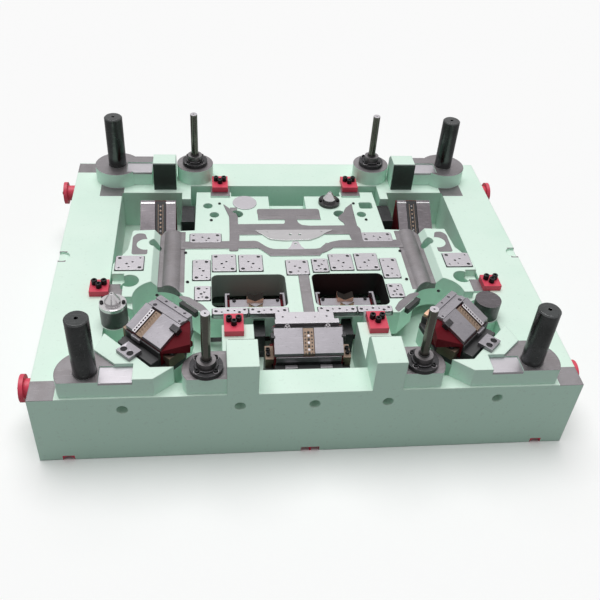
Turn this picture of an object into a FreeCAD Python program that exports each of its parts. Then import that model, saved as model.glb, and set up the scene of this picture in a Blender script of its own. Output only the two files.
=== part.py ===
import FreeCAD, Part
import Sketcher
import math
import os
import re

# Lower die of a line stamping press, in millimetres.
# X runs along the die, Y towards its rear, Z up. The origin is at the middle of the shoe's underside.

SIZES = {
    # Shoe casting
    "shoe_length": 2200,
    "shoe_width": 1730,
    "drawn_width": 1730,
    "rim_height": 355,
    "floor_height": 150,
    "rib_thickness": 43,
    "rib_depth": 95,
    "core_cover": 7,
    "rib_columns": 9,
    "rib_rows": 7,
    "edge_margin": 50,
    # Cavity of the shoe, at its rim
    "cavity_half": 852,
    "rear_wall": 295,
    "centre_rear_wall": 229,
    "centre_half": 500,
    "finger_width": 45,
    "finger_end": 510,
    "corner_start": 570,
    "corner_end": 639,
    "front_wall": 73,
    "pocket_half": 225,
    "pocket_wall": 130,
    "ledge_half": 360,
    "ledge_end": 462,
    "keeper_notch": 28,
    "edge_notch_radius": 35,
    "edge_notch_depth": 12,
    "edge_notch_x": 1085,
    "edge_notch_y": 30,
    # Guide posts and their bosses
    "post_radius": 45,
    "post_reach": 272,
    "post_socket": 90,
    "post_x": 881,
    "post_front_inset": 69,
    "post_rear_inset": 139,
    "post_chamfer": 5,
    "post_neck_height": 8,
    "post_neck_depth": 1.5,
    "post_centre_hole": 8,
    "boss_rise": 80,
    "post_boss_radius": 115,
    "boss_arm_end": 700,
    "boss_arm_width": 155,
    "boss_front_inset": 10,
    "boss_recess_outer": 829,
    "boss_recess_inner": 703,
    "boss_recess_inset": 95,
    "boss_recess_width": 95,
    "boss_recess_depth": 16,
    "boss_plate_thickness": 11,
    # Raised platforms of the shoe beside the front posts
    "corner_rise": 11,
    "rest_step_x": 772,
    "rest_outer_x": 857,
    "rest_outer_inset": 175,
    "rest_rear_x": 826,
    "rest_rear_inset": 271,
    "rest_front_x": 625,
    "rest_inner_x": 530,
    "rest_inner_inset": 88,
    # Nitrogen gas springs for the upper die
    "spring_front_x": 425,
    "spring_front_inset": 68,
    "spring_rear_x": 477,
    "spring_rear_inset": 127,
    "spring_boss_radius": 95,
    "spring_body_radius": 37.5,
    "spring_body_bottom": 180,
    "spring_body_reach": 52,
    "spring_rod_radius": 18,
    "spring_rod_reach": 284,
    "spring_rod_sink": 5,
    "spring_stroke": 200,
    "spring_floor": 14,
    "spring_rod_hole": 4,
    "spring_flange_radius": 65,
    "spring_flange_thickness": 20,
    "spring_screw_circle": 51,
    "running_gap": 0.3,
    "socket_gap": 0.05,
    # Cap screws
    "screw_radius": 6,
    "screw_head_radius": 9.5,
    "screw_head_height": 11,
    "screw_hole_gap": 0.5,
    "keeper_screw_radius": 8,
    "keeper_screw_head": 13,
    "keeper_screw_height": 34,
    # Heel blocks of the shoe
    "front_heel_x": 286,
    "front_heel_length": 122,
    "front_heel_width": 175,
    "front_heel_rise": 153,
    "rear_heel_x": 632,
    "rear_heel_length": 115,
    "rear_heel_inset": 253,
    "rear_heel_width": 118,
    "rear_heel_rise": 150,
    "heel_chamfer": 26,
    "heel_plate_thickness": 12,
    "heel_plate_margin": 8,
    # Lifting trunnions
    "trunnion_radius": 40,
    "trunnion_socket": 80,
    "trunnion_reach": 55,
    "trunnion_disc_radius": 58,
    "trunnion_disc_thickness": 18,
    "trunnion_front_inset": 200,
    "trunnion_front_z": 215,
    "trunnion_rear_inset": 145,
    "trunnion_rear_z": 258,
    # Holes and notches of the front face
    "face_hole_radius": 22,
    "face_hole_depth": 60,
    "face_hole_drop": 66,
    "face_hole_near": 296,
    "face_hole_far": 750,
    "clamp_notch_radius": 21,
    "clamp_notch_depth": 60,
    "clamp_notch_x": 985,
    "key_slot_width": 34,
    "key_slot_height": 20,
    "key_slot_depth": 40,
    "key_slot_gap": 8,
    # Pad casting
    "pad_sink": 10,
    "pad_height": 130,
    "pad_plate": 45,
    "pad_travel": 40,
    "pad_rear": 550,
    "pad_tab_rear": 590,
    "pad_tab_inner": 290,
    "pad_tab_outer": 470,
    "pad_waist_x": 478,
    "pad_waist_y": 245,
    "wing_start": 622,
    "wing_rear_y": 235,
    "wing_step_x": 640,
    "wing_step_y": 200,
    "wing_corner_inset": 82,
    "wing_corner_y": 192,
    "wing_side_inset": 67,
    "wing_side_y": 40,
    "wing_gap": 9,
    "wing_outer_y": 70,
    "wing_front_y": 290,
    "wing_end_inset": 107,
    "wing_end_y": 340,
    "platform_rise": 38,
    "platform_foot": 640,
    "platform_edge": 668,
    "platform_front": 300,
    "platform_tab_inset": 64,
    "platform_tab_y": 140,
    "pad_front": 390,
    "pad_front_x": 430,
    "centre_step_half": 95,
    "centre_step_front": 410,
    "centre_step_depth": 60,
    "pad_rib": 40,
    "pad_pocket": 190,
    "pad_pocket_front": 60,
    "wing_pocket_inset": 132,
    "wing_pocket_y": 60,
    # Windows of the pad
    "window_inner": 62,
    "window_outer": 400,
    "window_front": 338,
    "window_rear": 110,
    "window_corner": 30,
    # Round openings of the pad
    "sight_hole": 28,
    "wing_hole": 42,
    # Machined bands of the pad
    "band_proud": 4,
    "bead_radius": 60,
    "bead_sink": 45,
    "bead_x": 582,
    "bead_front": 232,
    "bead_rear": 228,
    # Keeper plates that hold the pad
    "keeper_length": 112,
    "keeper_width": 82,
    "keeper_thickness": 28,
    "keeper_rear_x": 347,
    "keeper_rear_y": 634,
    "keeper_front_x": 309,
    "keeper_front_y": 478,
    "keeper_side_outset": 38,
    "keeper_side_y": 221,
    "keeper_side_length": 84,
    "tab_depth": 50,
    "tab_half": 50,
    "tab_gap": 7,
    # Pad guides
    "guide_width": 50,
    "guide_front_x": 195,
    "guide_front_depth": 38,
    "guide_reach": 63,
    "guide_slot_reach": 107,
    "guide_rear_front": 354,
    "guide_rear_length": 140,
    # Pad springs
    "pad_spring_rear_x": 230,
    "pad_spring_rear_y": 270,
    "pad_spring_side_x": 550,
    "pad_spring_side_y": 60,
    "pad_spring_front_x": 442,
    "pad_spring_front_y": 200,
    "pad_spring_radius": 30,
    "pad_spring_rod": 16,
    "pad_spring_bottom": 110,
    "pad_spring_top": 172,
    "pad_spring_floor": 5,
    "pad_rod_bottom": 160,
    # Insert plates of the pad
    "insert_thickness": 25,
    "platform_seat_outer": 20,
    "platform_seat_inner": 146,
    "insert_proud": 6,
    "insert_gap": 2.5,
    "insert_corner": 12,
    # Flange bar at the middle of the pad's front
    "bar_half": 128,
    "bar_front": 440,
    "bar_sink": 15,
    "bar_rise": 13,
    # Pilot cones and pedestals
    "pedestal_inset": 44,
    "pedestal_y": 422,
    "pedestal_radius": 57,
    "pedestal_rise": 85,
    "pedestal_boss_radius": 61,
    "cone_flange_radius": 56,
    "cone_flange_thickness": 16,
    "cone_radius": 33,
    "cone_straight": 14,
    "cone_height": 50,
    "cone_tip_radius": 8,
    "cone_hole_radius": 4,
    "pilot_x": 222,
    "pilot_y": 487,
    # Corner cams
    "corner_x": 611,
    "corner_y": 620,
    "corner_angle": 45,
    "corner_slide_length": 160,
    "corner_slide_width": 196,
    "corner_seat": 150,
    "corner_sink": 39,
    "corner_low_rise": 74,
    "corner_high_rise": 123,
    "corner_shelf": 50,
    "corner_tail": 50,
    "corner_strip_y": 32,
    "corner_strip_width": 54,
    "corner_gib_start": 70,
    "hub_x": 613,
    "hub_ahead": 154,
    "pad_pocket_reach": 182,
    "pad_pocket_half": 142,
    "scallop_radius": 115,
    "scallop_x": 629,
    "scallop_y": 306,
    # Front cam
    "front_y": 565,
    "front_slide_length": 130,
    "front_slide_width": 290,
    "front_base": 100,
    "front_low": 172,
    "front_high": 230,
    "front_shelf": 35,
    "front_tail": 60,
    "front_tail_height": 125,
    "front_strip_y": 0,
    "front_strip_width": 44,
    "front_gib_start": 55,
    # Shared by the three cams
    "cam_lead": 75,
    "cam_travel": 35,
    "slide_flange": 10,
    "slide_flange_height": 22,
    "slide_flange_setback": 30,
    "gib_outer": 36,
    "wedge_gap": 3,
    "gib_height": 50,
    "gib_length": 80,
    "wear_plate_thickness": 16,
    "strip_thickness": 13,
    "plate_gap": 2,
    "steel_nose": 20,
    "steel_drop": 60,
    "steel_height": 18,
    "steel_margin": 8,
    "return_height": 20,
    "return_radius": 12,
    "return_rod_radius": 7,
    "return_depth": 70,
    "return_overlap": 15,
    "lug_thickness": 28,
    "lug_half": 24,
    "lug_height": 35,
    # Keeper blocks behind the corner cams
    "stop_length": 64,
    "stop_width": 74,
    "stop_height": 18,
    "stop_floor": 5,
    "stop_offset": 13,
    "stop_bite": 18,
    "stop_hole_spacing": 36,
    # Inner cam drivers in the windows
    "driver_x": 206,
    "driver_length": 252,
    "driver_front": 330,
    "driver_rear": 150,
    "driver_flat": 235,
    "driver_top": 292,
    "driver_low": 228,
    "driver_plate_front": 304,
    "driver_plate_rear": 242,
    "driver_plate_inset": 12,
    "driver_plate_thickness": 14,
    "vee_width": 72,
    "vee_depth": 42,
    "vee_height": 38,
    "vee_notch": 18,
    "bracket_thickness": 9,
    "bracket_height": 64,
    "bracket_lip": 12,
    "bracket_length": 106,
    "bracket_setback": 6,
    # Rear cam drivers
    "rear_driver_x": 662,
    "rear_driver_front": 262,
    "rear_driver_rear": 470,
    "rear_driver_length": 176,
    "rear_driver_low": 250,
    "rear_driver_high": 372,
    "rear_driver_ridge": 24,
    "rear_strip_width": 52,
    "rear_strip_x": 12,
    "rear_keeper_width": 44,
    "rear_keeper_length": 84,
    "rear_keeper_height": 70,
}

# Seats of the insert plates: first and last X, first and last Y.
LEFT_SEATS = {
    "window_side": (-485, -405, -150, 0),
    "window_rear_outer": (-395, -285, -88, 40),
    "window_rear_inner": (-270, -160, -88, 36),
    "side_front": (-475, -405, -292, -195),
    "tab": (-500, -350, 138, 212),
}
PLATFORM_SEATS = {
    "platform": ("=platform_seat_outer - cavity_half", "=platform_seat_inner - cavity_half",
                 -118, -14),
}
CENTRE_SEATS = {
    "window_middle": (-50, 55, -118, -8),
    "window_near": (75, 150, -100, 0),
}
STRIP_SEATS = {
    "strip_inner": (-238, -66, -388, -348),
    "strip_outer": (-398, -244, -388, -348),
}

# Machined bands: first and last X, first and last Y.
BANDS = {
    "cross_bar": (-160, 160, 330, 400),
    "cross_stem": (-20, 30, 250, 332),
    "rear_band": (-300, 330, 200, 252),
    "left_upright": (-300, -264, 250, 440),
    "right_upright": (304, 340, 250, 440),
    "left_arm": (-543, -160, 88, 128),
    "right_arm": (160, 543, 88, 128),
    "centre_dip": (-120, 120, 26, 62),
    "front_bar": (0, 50, -388, -120),
}

# Sizes that follow from the ones above.
DERIVED = {
    "cavity_rear": "shoe_width / 2 - rear_wall",
    "centre_rear": "shoe_width / 2 - centre_rear_wall",
    "cavity_front": "shoe_width / 2 - front_wall",
    "pocket_front": "shoe_width / 2 - pocket_wall",
    "post_front_y": "shoe_width / 2 - post_front_inset",
    "post_rear_y": "shoe_width / 2 - post_rear_inset",
    "boss_recess_rear": "shoe_width / 2 - boss_recess_inset",
    "rest_outer_y": "shoe_width / 2 - rest_outer_inset",
    "rest_rear_y": "shoe_width / 2 - rest_rear_inset",
    "rest_inner_y": "shoe_width / 2 - rest_inner_inset",
    "spring_front_y": "shoe_width / 2 - spring_front_inset",
    "spring_rear_y": "shoe_width / 2 - spring_rear_inset",
    "front_heel_rear": "shoe_width / 2 - front_heel_width",
    "rear_heel_front": "shoe_width / 2 - rear_heel_inset",
    "trunnion_front_y": "shoe_width / 2 - trunnion_front_inset",
    "trunnion_rear_y": "shoe_width / 2 - trunnion_rear_inset",
    "boss_top": "rim_height + boss_rise",
    "corner_rest": "boss_top + corner_rise",
    "post_top": "boss_top + post_reach",
    "spring_body_top": "boss_top + spring_body_reach",
    "spring_rod_top": "boss_top + spring_rod_reach",
    "spring_rod_bottom": "boss_top - spring_rod_sink",
    "front_heel_top": "rim_height + front_heel_rise",
    "rear_heel_top": "rim_height + rear_heel_rise",
    "pedestal_top": "rim_height + pedestal_rise",
    "face_hole_z": "rim_height - face_hole_drop",
    "pad_top": "rim_height - pad_sink",
    "pad_bottom": "pad_top - pad_height",
    "platform_top": "pad_top + platform_rise",
    "bar_bottom": "pad_top - bar_sink",
    "bar_top": "pad_top + bar_rise",
    "guide_top": "pad_bottom + guide_reach",
    "guide_slot_top": "pad_bottom + guide_slot_reach",
    "corner_base": "corner_rest - floor_height - corner_sink",
    "corner_low": "corner_base + corner_low_rise",
    "corner_high": "corner_base + corner_high_rise",
    "hub_y": "corner_y - hub_ahead",
    "wing_corner_x": "cavity_half - wing_corner_inset",
    "wing_side_x": "cavity_half - wing_side_inset",
    "wing_outer_x": "cavity_half - wing_gap",
    "wing_end_x": "cavity_half - wing_end_inset",
    "platform_tab_x": "cavity_half - platform_tab_inset",
    "wing_pocket_x": "cavity_half - wing_pocket_inset",
    "keeper_side_x": "cavity_half + keeper_side_outset",
    "pedestal_x": "cavity_half - pedestal_inset",
    "under_split": "rib_depth + core_cover",
}

# Places along Y of what lies in the cavity. They spread with the shoe's width.
INNER_PLACES = [
    "finger_end", "corner_start", "corner_end", "ledge_end",
    "pad_rear", "pad_tab_rear", "pad_waist_y", "wing_rear_y", "wing_step_y", "wing_corner_y",
    "wing_side_y", "wing_outer_y", "wing_front_y", "wing_end_y", "platform_front",
    "platform_tab_y", "pad_front", "centre_step_front", "pad_pocket_front", "wing_pocket_y",
    "window_front", "window_rear", "bead_front", "bead_rear", "keeper_rear_y",
    "keeper_front_y", "keeper_side_y", "guide_rear_front", "pad_spring_rear_y",
    "pad_spring_side_y", "pad_spring_front_y", "bar_front", "pedestal_y", "pilot_y",
    "corner_y", "scallop_y", "front_y", "driver_front", "driver_rear", "driver_flat",
    "driver_plate_front", "driver_plate_rear", "rear_driver_front", "rear_driver_rear",
]

doc = FreeCAD.newDocument("line_stamping_die")
sheet = doc.addObject("Spreadsheet::Sheet", "sizes")
nodes = {}


def write_sheet():
    """Puts every size into the sheet under its own name."""
    rows = dict(SIZES)
    for name in INNER_PLACES:
        rows[name] = "=%s * shoe_width / drawn_width" % rows[name]
    for table in (LEFT_SEATS, PLATFORM_SEATS, CENTRE_SEATS, STRIP_SEATS, BANDS):
        for name, (x_first, x_last, y_first, y_last) in table.items():
            rows[name + "_x_first"] = x_first
            rows[name + "_x_last"] = x_last
            rows[name + "_y_first"] = "=%s * shoe_width / drawn_width" % y_first
            rows[name + "_y_last"] = "=%s * shoe_width / drawn_width" % y_last
    for name, text in DERIVED.items():
        rows[name] = "=" + text
    for row, (name, number) in enumerate(rows.items(), start=1):
        sheet.set("A%d" % row, name)
        sheet.set("B%d" % row, str(number))
        sheet.setAlias("B%d" % row, name)
    doc.recompute()


def read(name):
    """The number that the sheet holds under this name."""
    return float(sheet.get(name))


def formula(text):
    """A formula in the sheet's names, as the document understands it."""
    return re.sub(r"\b[a-z]+_\w+", lambda found: "sizes." + found.group(0), text)


def place(thing, x="0", y="0", z="0"):
    """Ties the place of a solid to three formulas."""
    for axis, text in (("x", x), ("y", y), ("z", z)):
        thing.setExpression("Placement.Base." + axis, formula(text))
    return thing


def keep(name, thing):
    """Makes a solid one of the die's named pieces."""
    thing.Label = name
    nodes[name] = thing
    return thing


def block(name, length, width, height, x="0", y="0", z="0"):
    """A box with its low corner at x, y, z."""
    thing = doc.addObject("Part::Box", name)
    thing.setExpression("Length", formula(length))
    thing.setExpression("Width", formula(width))
    thing.setExpression("Height", formula(height))
    return place(thing, x, y, z)


def span(name, x_first, x_last, y_first, y_last, z_first, z_last):
    """A box between two places on each axis."""
    return block(
        name,
        "(%s) - (%s)" % (x_last, x_first),
        "(%s) - (%s)" % (y_last, y_first),
        "(%s) - (%s)" % (z_last, z_first),
        x_first, y_first, z_first,
    )


def rod(name, radius, length, x="0", y="0", z="0", along="z"):
    """A cylinder that starts at x, y, z and runs along one axis."""
    thing = doc.addObject("Part::Cylinder", name)
    thing.setExpression("Radius", formula(radius))
    thing.setExpression("Height", formula(length))
    turns = {"x": (FreeCAD.Vector(0, 1, 0), 90), "y": (FreeCAD.Vector(1, 0, 0), -90)}
    if along in turns:
        axis, angle = turns[along]
        thing.Placement = FreeCAD.Placement(FreeCAD.Vector(), FreeCAD.Rotation(axis, angle))
    return place(thing, x, y, z)


def outline(name, corners):
    """A closed sketch whose corners are tied to pairs of formulas."""
    sketch = doc.addObject("Sketcher::SketchObject", name)
    count = len(corners)
    start = []
    for index in range(count):
        turn = 2 * math.pi * index / count
        start.append(FreeCAD.Vector(100 * math.cos(turn), 100 * math.sin(turn), 0))
    for index in range(count):
        sketch.addGeometry(Part.LineSegment(start[index], start[(index + 1) % count]))
    for index in range(count):
        sketch.addConstraint(Sketcher.Constraint("Coincident", index, 2, (index + 1) % count, 1))
    for index, (across, along) in enumerate(corners):
        for kind, first, text in (
            ("DistanceX", start[index].x, across),
            ("DistanceY", start[index].y, along),
        ):
            number = sketch.addConstraint(Sketcher.Constraint(kind, -1, 1, index, 1, first))
            sketch.setExpression("Constraints[%d]" % number, formula(text))
    return sketch


def prism(name, corners, height, z="0"):
    """An outline in plan, raised by a height."""
    thing = doc.addObject("Part::Extrusion", name)
    thing.Base = outline(name + "_outline", corners)
    thing.DirMode = "Normal"
    thing.Solid = True
    thing.setExpression("LengthFwd", formula(height))
    return place(thing, "0", "0", z)


def side_prism(name, corners, width, x="0", y="0", z="0"):
    """An outline in X and Z, made as wide as given and centred on y."""
    sketch = outline(name + "_outline", corners)
    sketch.Placement = FreeCAD.Placement(
        FreeCAD.Vector(), FreeCAD.Rotation(FreeCAD.Vector(1, 0, 0), 90)
    )
    thing = doc.addObject("Part::Extrusion", name)
    thing.Base = sketch
    thing.DirMode = "Normal"
    thing.Solid = True
    thing.setExpression("LengthFwd", formula("(%s) / 2" % width))
    thing.setExpression("LengthRev", formula("(%s) / 2" % width))
    return place(thing, x, y, z)


def end_prism(name, corners, length, x="0", y="0", z="0"):
    """An outline in Y and Z, run along X from x."""
    sketch = outline(name + "_outline", corners)
    sketch.Placement = FreeCAD.Placement(
        FreeCAD.Vector(), FreeCAD.Rotation(FreeCAD.Vector(1, 1, 1), 120)
    )
    thing = doc.addObject("Part::Extrusion", name)
    thing.Base = sketch
    thing.DirMode = "Normal"
    thing.Solid = True
    thing.setExpression("LengthFwd", formula(length))
    return place(thing, x, y, z)


def turned(name, profile, x="0", y="0", z="0"):
    """A profile of radius and height, revolved about Z."""
    sketch = outline(name + "_profile", profile)
    sketch.Placement = FreeCAD.Placement(
        FreeCAD.Vector(), FreeCAD.Rotation(FreeCAD.Vector(1, 0, 0), 90)
    )
    thing = doc.addObject("Part::Revolution", name)
    thing.Source = sketch
    thing.Axis = FreeCAD.Vector(0, 0, 1)
    thing.Base = FreeCAD.Vector(0, 0, 0)
    thing.Angle = 360
    thing.Solid = True
    return place(thing, x, y, z)


def fuse(name, things):
    """Several solids grown into one."""
    thing = doc.addObject("Part::MultiFuse", name)
    thing.Shapes = things
    thing.Refine = True
    return thing


def cut(name, base, tools):
    """A solid with all the tools taken away."""
    thing = doc.addObject("Part::Cut", name)
    thing.Base = base
    thing.Tool = tools[0] if len(tools) == 1 else fuse(name + "_tools", tools)
    return thing


def group(name, things):
    """Like pieces that stay separate solids of one node."""
    thing = doc.addObject("Part::Compound", name)
    thing.Links = things
    return thing


def mirror(name, source, normal=(1, 0, 0)):
    """The same piece on the other side of the die."""
    thing = doc.addObject("Part::Mirroring", name)
    thing.Source = source
    thing.Normal = FreeCAD.Vector(*normal)
    return thing


def both_sides(name, things):
    """The pieces and their mirror images, left and right."""
    return things + [mirror("%s_%d_mirrored" % (name, i), one) for i, one in enumerate(things)]


def rounded(name, source, radius):
    """A box with its upright edges rounded to the radius of that name."""
    doc.recompute()
    size = read(radius)
    upright = []
    for number, edge in enumerate(source.Shape.Edges, start=1):
        if abs(edge.tangentAt(edge.FirstParameter).z) > 0.99:
            upright.append((number, size, size))
    thing = doc.addObject("Part::Fillet", name)
    thing.Base = source
    thing.Edges = upright
    return thing


def cap_screw(name, radius, head, height, shank, x, y, z):
    """A plain cap screw with its head on z and its shank below."""
    profile = [
        ("0", "0 - (%s)" % shank),
        (radius, "0 - (%s)" % shank),
        (radius, "0"),
        (head, "0"),
        (head, height),
        ("0", height),
    ]
    return turned(name, profile, x, y, z)


def seat_names(table):
    """The sheet's names for the ends of each seat of a table."""
    for name in table:
        yield name, [name + "_" + end for end in ("x_first", "x_last", "y_first", "y_last")]


# Shoe

def cavity():
    """The shoe's main cavity: rear pockets, centre, corner pockets and front pocket."""
    right = [
        ("centre_half", "centre_rear"),
        ("centre_half", "finger_end"),
        ("centre_half + finger_width", "finger_end"),
        ("centre_half + finger_width", "cavity_rear"),
        ("cavity_half", "cavity_rear"),
        ("cavity_half", "0 - corner_start"),
        ("corner_end", "0 - cavity_front"),
        ("ledge_half", "0 - cavity_front"),
        ("ledge_half", "0 - ledge_end"),
        ("pocket_half", "0 - ledge_end"),
        ("pocket_half", "0 - pocket_front"),
    ]
    left = [("0 - (%s)" % x, y) for x, y in reversed(right)]
    deep = "corner_rest - floor_height + 1"
    tools = [prism("cavity", right + left, deep, "floor_height")]
    notch = span(
        "keeper_notch_left",
        "0 - cavity_half - keeper_notch", "1 - cavity_half",
        "0 - keeper_side_y - tab_half", "tab_half - keeper_side_y",
        "rim_height - tab_depth - pad_travel - tab_gap", "rim_height + 1",
    )
    return tools + both_sides("notch", [notch])


def underside_pockets():
    """A grid of cored pockets that leaves ribs under the shoe."""
    columns = int(read("rib_columns"))
    rows = int(read("rib_rows"))
    long_pitch = "(shoe_length - 2 * edge_margin + rib_thickness) / rib_columns"
    wide_pitch = "(shoe_width - 2 * edge_margin + rib_thickness) / rib_rows"
    tools = []
    for column in range(columns):
        for row in range(rows):
            tools.append(block(
                "core_%d_%d" % (column, row),
                long_pitch + " - rib_thickness",
                wide_pitch + " - rib_thickness",
                "rib_depth + 1",
                "0 - shoe_length / 2 + edge_margin + %d * %s" % (column, long_pitch),
                "0 - shoe_width / 2 + edge_margin + %d * %s" % (row, wide_pitch),
                "-1",
            ))
    return tools


def post_boss(name, y):
    """Left post boss: a round boss of full height."""
    return rod(
        name + "_ring", "post_boss_radius", "boss_top - floor_height",
        "0 - post_x", y, "floor_height",
    )


def corner_platform(hollow):
    """Left front corner: the post boss's flat and, a step higher, the rest of the corner cam."""
    flat = prism("front_post_flat", [
        ("0 - post_x", "0 - shoe_width / 2"),
        ("0 - boss_recess_inner", "0 - shoe_width / 2"),
        ("0 - boss_recess_inner", "0 - boss_recess_rear"),
        ("0 - rest_step_x", "0 - boss_recess_rear"),
        ("0 - rest_outer_x", "0 - rest_outer_y"),
        ("0 - post_x", "0 - rest_outer_y"),
    ], "boss_top - floor_height", "floor_height")
    rest = prism("corner_rest", [
        ("0 - rest_outer_x", "0 - rest_outer_y"),
        ("0 - rest_step_x", "0 - boss_recess_rear"),
        ("0 - boss_recess_inner", "0 - boss_recess_rear"),
        ("0 - boss_recess_inner", "0 - shoe_width / 2"),
        ("0 - rest_front_x", "0 - shoe_width / 2"),
        ("0 - rest_front_x", "boss_front_inset - shoe_width / 2"),
        ("0 - rest_inner_x", "0 - rest_inner_y"),
        ("0 - rest_inner_x", "0 - rest_rear_y"),
        ("0 - rest_rear_x", "0 - rest_rear_y"),
    ], "corner_rest - floor_height", "floor_height")
    return [flat, cut("corner_rest_trimmed", rest, hollow)]


def heel(name, x, length, y_low, y_high, top):
    """A cast heel block whose far top edge is chamfered."""
    corners = [
        (y_low, "floor_height"),
        (y_high, "floor_height"),
        (y_high, "%s - heel_chamfer" % top),
        ("(%s) - heel_chamfer" % y_high, top),
        (y_low, top),
    ]
    return end_prism(name, corners, length, "0 - (%s) - %s / 2" % (x, length))


def shoe_grown():
    """The shoe's outer block with bosses, heels and the cam ledges."""
    body = block(
        "shoe_block", "shoe_length", "shoe_width", "rim_height",
        "0 - shoe_length / 2", "0 - shoe_width / 2",
    )
    hollow_tools = cavity()
    hollow = cut("shoe_hollow", body, hollow_tools)
    grown = [post_boss("front_post", "0 - post_front_y"), post_boss("rear_post", "post_rear_y")]
    grown += corner_platform(hollow_tools)
    spring_height = "boss_top - floor_height"
    grown.append(block(
        "rear_post_arm", "post_x - boss_arm_end", "boss_arm_width", spring_height,
        "0 - post_x", "post_rear_y - boss_arm_width / 2", "floor_height",
    ))
    grown.append(rod(
        "front_spring_boss", "spring_boss_radius", spring_height,
        "0 - spring_front_x", "0 - spring_front_y", "floor_height",
    ))
    grown.append(span(
        "front_spring_corner", "0 - spring_front_x", "0 - front_heel_x",
        "0 - shoe_width / 2", "spring_boss_radius - spring_front_y",
        "floor_height", "boss_top",
    ))
    grown.append(rod(
        "rear_spring_boss", "spring_boss_radius", spring_height,
        "0 - spring_rear_x", "spring_rear_y", "floor_height",
    ))
    grown.append(cam_place("corner", group("corner_seat_set", [block(
        "corner_seat", "corner_slide_length + corner_tail + cam_lead - lug_half",
        "corner_slide_width - 2 * gib_outer", "corner_seat",
        "0 - corner_slide_length / 2 - corner_tail", "gib_outer - corner_slide_width / 2",
    )])))
    grown.append(heel(
        "front_heel", "front_heel_x", "front_heel_length",
        "0 - shoe_width / 2", "0 - front_heel_rear", "front_heel_top",
    ))
    grown.append(heel(
        "rear_heel", "rear_heel_x", "rear_heel_length",
        "rear_heel_front", "rear_heel_front + rear_heel_width", "rear_heel_top",
    ))
    grown.append(rod(
        "pedestal_boss", "pedestal_boss_radius", "rim_height - floor_height",
        "0 - pedestal_x", "0 - pedestal_y", "floor_height",
    ))
    envelope = span(
        "boss_envelope",
        "0 - shoe_length / 2", "shoe_length / 2",
        "0 - shoe_width / 2", "shoe_width / 2",
        "floor_height", "front_heel_top + 100",
    )
    front_inset = span(
        "front_inset", "0 - shoe_length / 2", "0 - front_heel_x - front_heel_length / 2",
        "0 - shoe_width / 2 - 1", "boss_front_inset - shoe_width / 2",
        "rim_height", "corner_rest + 1",
    )
    raised = cut("raised_trimmed", fuse("raised", both_sides("raised", grown)),
                 both_sides("inset", [front_inset]))
    kept = doc.addObject("Part::Common", "raised_inside")
    kept.Base = raised
    kept.Tool = envelope
    return fuse("shoe_grown", [hollow, kept])


def post_places():
    """X, Y of the four guide posts."""
    return [
        ("0 - post_x", "0 - post_front_y"), ("post_x", "0 - post_front_y"),
        ("0 - post_x", "post_rear_y"), ("post_x", "post_rear_y"),
    ]


def spring_places():
    """Name, X, Y of the four gas springs."""
    return [
        ("front_left", "0 - spring_front_x", "0 - spring_front_y"),
        ("front_right", "spring_front_x", "0 - spring_front_y"),
        ("rear_left", "0 - spring_rear_x", "spring_rear_y"),
        ("rear_right", "spring_rear_x", "spring_rear_y"),
    ]


def pad_spring_places():
    """X, Y of the springs under the pad."""
    left = [
        ("0 - pad_spring_rear_x", "pad_spring_rear_y"),
        ("0 - pad_spring_side_x", "pad_spring_side_y"),
        ("0 - pad_spring_front_x", "0 - pad_spring_front_y"),
    ]
    return left + [(x.replace("0 - ", ""), y) for x, y in left]


def boss_recesses():
    """Name, last X, first Y and last Y of the open recesses in the post bosses."""
    return [
        ("front", "0 - boss_recess_inner", "boss_front_inset - shoe_width / 2",
         "0 - boss_recess_rear"),
        ("rear", "0 - boss_arm_end", "post_rear_y - boss_arm_width / 2",
         "post_rear_y - boss_arm_width / 2 + boss_recess_width"),
    ]


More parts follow.
